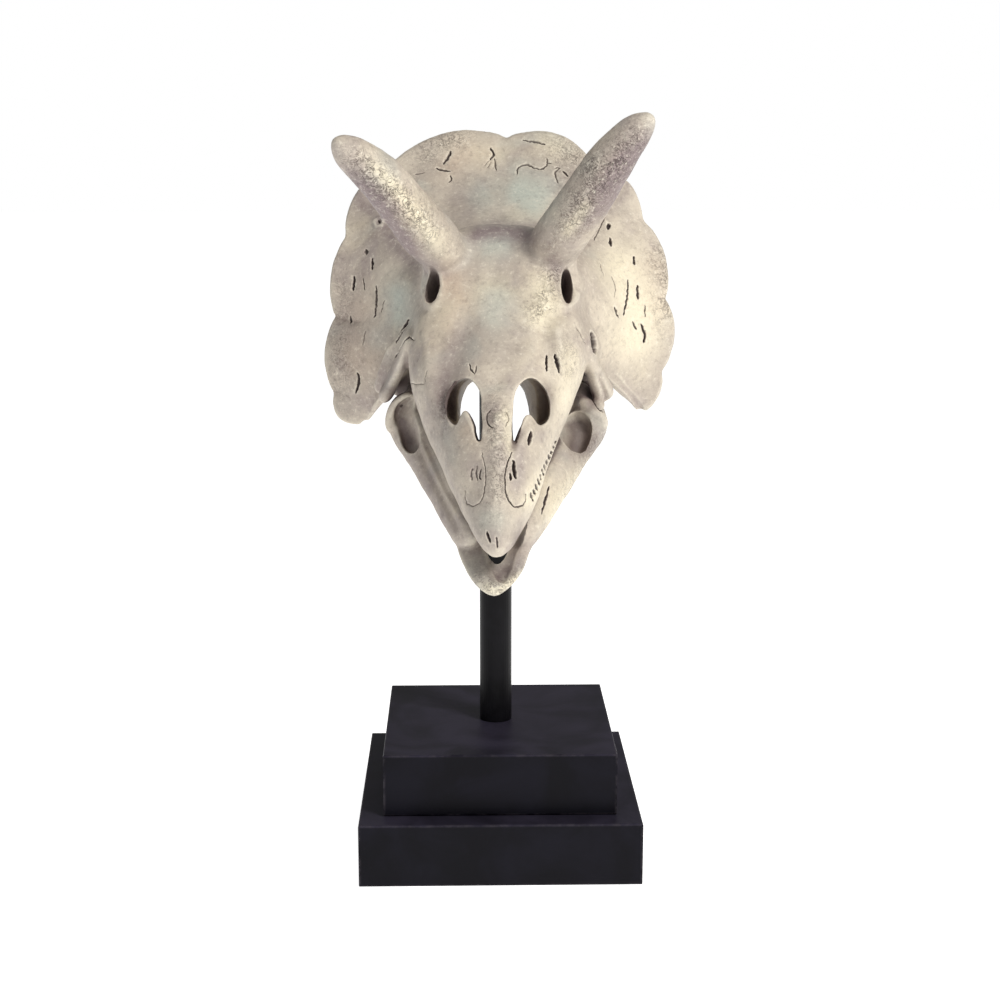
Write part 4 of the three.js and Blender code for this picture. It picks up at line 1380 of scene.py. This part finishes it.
def painted_bone():
    """Resin painted as old bone: beige with cream zones that hold a painted highlight, cool zones and mauve
    zones that hold painted shade, grain, and a wash with painted shade in the recesses.
    """
    finish = Finish("painted_bone", roughness=0.5, specular=0.4)
    shade = finish.clouds(0.05, 4)
    patches = finish.clouds(0.085, 3, warp=0.6)
    mottle = finish.clouds(0.011, 5, 0.65)
    fine = finish.clouds(0.0036, 5, 0.72, warp=0.3)
    grain = finish.clouds(0.0011, 3, 0.7)
    ways = finish.clouds(0.0048, 4, 0.7, warp=0.9)
    veins = 1 - (ways - 0.5).size().stepped(0.006, 0.045)
    flecks = finish.clouds(0.0016, 3, 0.65, warp=0.5)
    green_patches = finish.clouds(0.06, 2, warp=0.4)
    mauve_patches = finish.clouds(0.04, 4, warp=0.8)
    stipple = finish.attribute("stipple").least(1)
    hollow = finish.attribute("recess")
    recess = hollow.stepped(0.56, 1)
    uneven = 0.55 + 0.9 * mottle

    def zone(name, strength):
        return finish.attribute(name) * uneven * strength

    layers = [
        ((210, 198, 170), patches.stepped(0.5, 0.75) * 0.5),
        ((180, 184, 176), green_patches.stepped(0.52, 0.72) * 0.4),
        ((152, 138, 138), mauve_patches.stepped(0.5, 0.72) * 0.45),
        ((214, 190, 166), zone("warm", 0.6).least(0.9)),
        ((194, 203, 192), zone("cool", 0.75).least(0.9)),
        # The mauve zones: the paint's own mauve and painted shade
        ((134, 119, 121), zone("mauve_and_shade", 0.85).least(0.9)),
        # The cream zones: the paint's own cream and a painted highlight
        ((242, 232, 204), zone("cream_and_highlight", 0.8).least(0.9)),
        ((120, 106, 101), mottle.stepped(0.54, 0.76) * 0.35),
        ((108, 94, 91), fine.stepped(0.52, 0.72) * (0.34 + 0.35 * stipple)),
        ((244, 237, 220), (1 - fine).stepped(0.53, 0.72) * (0.42 + 0.35 * stipple)),
        # Paler on the ridges and edges, where the surface stands above its smoothed self: a painted highlight
        ((240, 232, 213), hollow.stepped(0.46, 0.1) * 0.4),
        ((84, 71, 69), veins * (0.1 + 0.8 * stipple) * mottle.stepped(0.34, 0.56)),
        ((243, 235, 216), flecks.stepped(0.55, 0.7) * (0.08 + 0.5 * stipple)),
        # Darker in the recesses: a dark wash and painted shade
        ((124, 108, 104), recess * (0.25 + 0.4 * shade)),
        # The wash zones: a dark wash and painted shade
        ((96, 80, 78), zone("wash_and_shade", 1).least(1) * 0.75),
        # Darker where the skull is shut in, as inside the nostrils and under the frill: a dark wash and
        # painted shade
        ((100, 86, 87), finish.attribute("shut").stepped(0.08, 0.55) * 0.8),
        # Darker in the creases: a dark wash and painted shade
        ((82, 68, 65), finish.attribute("crease").stepped(0.06, 0.5) * 0.8),
        # Darker in the slits: a dark wash and painted shade
        ((56, 47, 45), finish.attribute("slit").stepped(0.12, 0.9) * 0.9),
    ]
    ground = finish.mixed(colour(180, 169, 157), colour(208, 197, 180), shade.stepped(0.35, 0.65))
    # The cream zones, which hold a painted highlight, are also a little glossier
    cream_and_highlight = finish.attribute("cream_and_highlight").least(1)
    roughness = 0.4 + 0.2 * shade + 0.18 * recess + 0.12 * grain - 0.1 * cream_and_highlight
    soft = finish.relief(mottle, 0.0008, 0.5)
    rough = finish.relief(fine + veins * stipple * -0.5, 0.0009, 0.4 + 0.5 * stipple, soft)
    normal = finish.relief(grain, 0.00025, 0.6, rough)
    return finish.shown(finish.painted(ground, layers), roughness, normal)


def black_lacquer(step):
    """Satin black paint on wood, with dust, faint smears, edges worn a little lighter and painted light on
    the top face.
    """
    finish = Finish("black_lacquer", roughness=0.4, specular=0.1)
    x, y, z = finish.axes()
    half, bottom, top = (step[size] / 1000 for size in ("half", "bottom", "top"))
    across, along = half - x.size(), half - y.size()
    upright = (top - z).least(z - bottom)
    from_edge = across.least(along).most(across.most(along).least(upright))
    smears = finish.clouds(0.05, 4, warp=0.7)
    dust = finish.clouds(0.0016, 2, 0.8).stepped(0.7, 0.82)
    grain = finish.clouds(0.004, 3, 0.6, place=finish.stretched((0.25, 1, 1)))
    worn = from_edge.stepped(0.0022, 0.0004) * finish.clouds(0.012, 4, 0.7).stepped(0.4, 0.62)
    # The top face of the step is paler, as lit from above: painted light
    painted_top_light = z.stepped(top - 0.002, top - 0.0005)
    layers = [
        ((50, 47, 60), painted_top_light * (0.35 + 0.65 * smears.stepped(0.3, 0.7))),
        ((58, 55, 64), dust * 0.25),
        ((66, 62, 68), worn * 0.6),
    ]
    ground = finish.mixed(colour(12, 11, 17), colour(20, 19, 28), smears.stepped(0.35, 0.72))
    roughness = 0.36 + 0.16 * smears + 0.08 * dust
    normal = finish.relief(grain, 0.0001, 0.35, finish.relief(smears, 0.0008, 0.3))
    return finish.shown(finish.painted(ground, layers), roughness, normal)


def black_metal():
    """Satin black paint on a steel pole."""
    finish = Finish("black_metal", roughness=0.3, specular=0.12)
    smears = finish.clouds(0.03, 4, warp=0.5)
    grain = finish.clouds(0.0012, 2, 0.6)
    tone = finish.mixed(colour(9, 8, 11), colour(18, 17, 21), smears.stepped(0.4, 0.7))
    roughness = 0.26 + 0.16 * smears + 0.06 * grain
    normal = finish.relief(grain, 0.00006, 0.4)
    return finish.shown(tone, roughness, normal)


def white_paper():
    """Bright white paper with a faint fibre, which glows a little."""
    finish = Finish("paper", roughness=0.9, specular=0.2)
    tone = finish.mixed((0.93, 0.93, 0.93, 1), (0.96, 0.96, 0.96, 1), finish.clouds(0.5))
    finish.shader.inputs["Emission Color"].default_value = (1, 1, 1, 1)
    finish.shader.inputs["Emission Strength"].default_value = FLOOR_GLOW
    fibres = finish.clouds(0.002)
    return finish.shown(tone, 0.85 + 0.1 * fibres, finish.relief(fibres, 0.0001, 0.1))


def dress(piece, material):
    """Gives a piece one material."""
    piece.data.materials.clear()
    piece.data.materials.append(material)


def add_floor():
    """A white floor that runs out of sight."""
    form = bmesh.new()
    bmesh.ops.create_grid(form, x_segments=1, y_segments=1, size=FLOOR_HALF)
    floor = new_piece("floor", form)
    dress(floor, white_paper())


def add_surround():
    """A surround that is white to the camera and dimmer to the object."""
    world = bpy.data.worlds.new("surround")
    world.use_nodes = True
    sky = world.node_tree.nodes["Background"]
    sky.inputs["Color"].default_value = (1, 1, 1, 1)
    glow = world.node_tree.nodes.new("ShaderNodeMix")
    glow.inputs["A"].default_value = SKY_LIGHT
    glow.inputs["B"].default_value = 1.0
    rays = world.node_tree.nodes.new("ShaderNodeLightPath")
    world.node_tree.links.new(rays.outputs["Is Camera Ray"], glow.inputs["Factor"])
    world.node_tree.links.new(glow.outputs["Result"], sky.inputs["Strength"])
    bpy.context.scene.world = world
    bpy.context.scene.view_settings.view_transform = "Standard"


def add_lamp(name, at, size, power, tint):
    """A soft square lamp that shines at the object."""
    lamp = bpy.data.lights.new(name, "AREA")
    lamp.size = size
    lamp.energy = power
    lamp.color = tint
    stand = bpy.data.objects.new(name, lamp)
    stand.location = at
    stand.rotation_euler = (Vector(LAMP_AIM) - Vector(at)).to_track_quat("-Z", "Y").to_euler()
    bpy.context.scene.collection.objects.link(stand)


def add_camera():
    """The camera, at the photograph's angle."""
    lens = bpy.data.cameras.new("camera")
    lens.lens = LENS
    lens.sensor_width = SENSOR
    lens.clip_end = 50
    camera = bpy.data.objects.new("camera", lens)
    camera.location = CAMERA_AT / 1000
    camera.rotation_euler = Vector(CAMERA_LOOK).to_track_quat("-Z", "Y").to_euler()
    bpy.context.scene.collection.objects.link(camera)
    bpy.context.scene.camera = camera


SKULL_NODES = [
    "cranium", "snout", "rostral_beak", "frill_squamosal_left", "frill_parietal", "frill_squamosal_right",
    "brow_horn_left", "brow_horn_right", "cheek_horn_left", "cheek_horn_right",
    "quadrate_left", "quadrate_right",
]
JAW_NODES = ["mandible_left", "mandible_right", "predentary"]

bone = painted_bone()
casts = [skull_cast(), jaw_cast()]
surroundings = surface_tree([cast.data for cast, _ in casts])
for (cast, marks), nodes in zip(casts, (SKULL_NODES, JAW_NODES)):
    paint(cast, marks, surroundings)
    place_in_frame(cast)
    dress(cast, bone)
    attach(cast, "root")
    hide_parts(*nodes)
dress(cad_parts["stand_plinth_lower"], black_lacquer(LOWER_STEP))
dress(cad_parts["stand_plinth_upper"], black_lacquer(UPPER_STEP))
dress(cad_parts["stand_pole"], black_metal())
add_floor()
add_surround()
for name, lamp in LAMPS.items():
    add_lamp(name, **lamp)
add_camera()
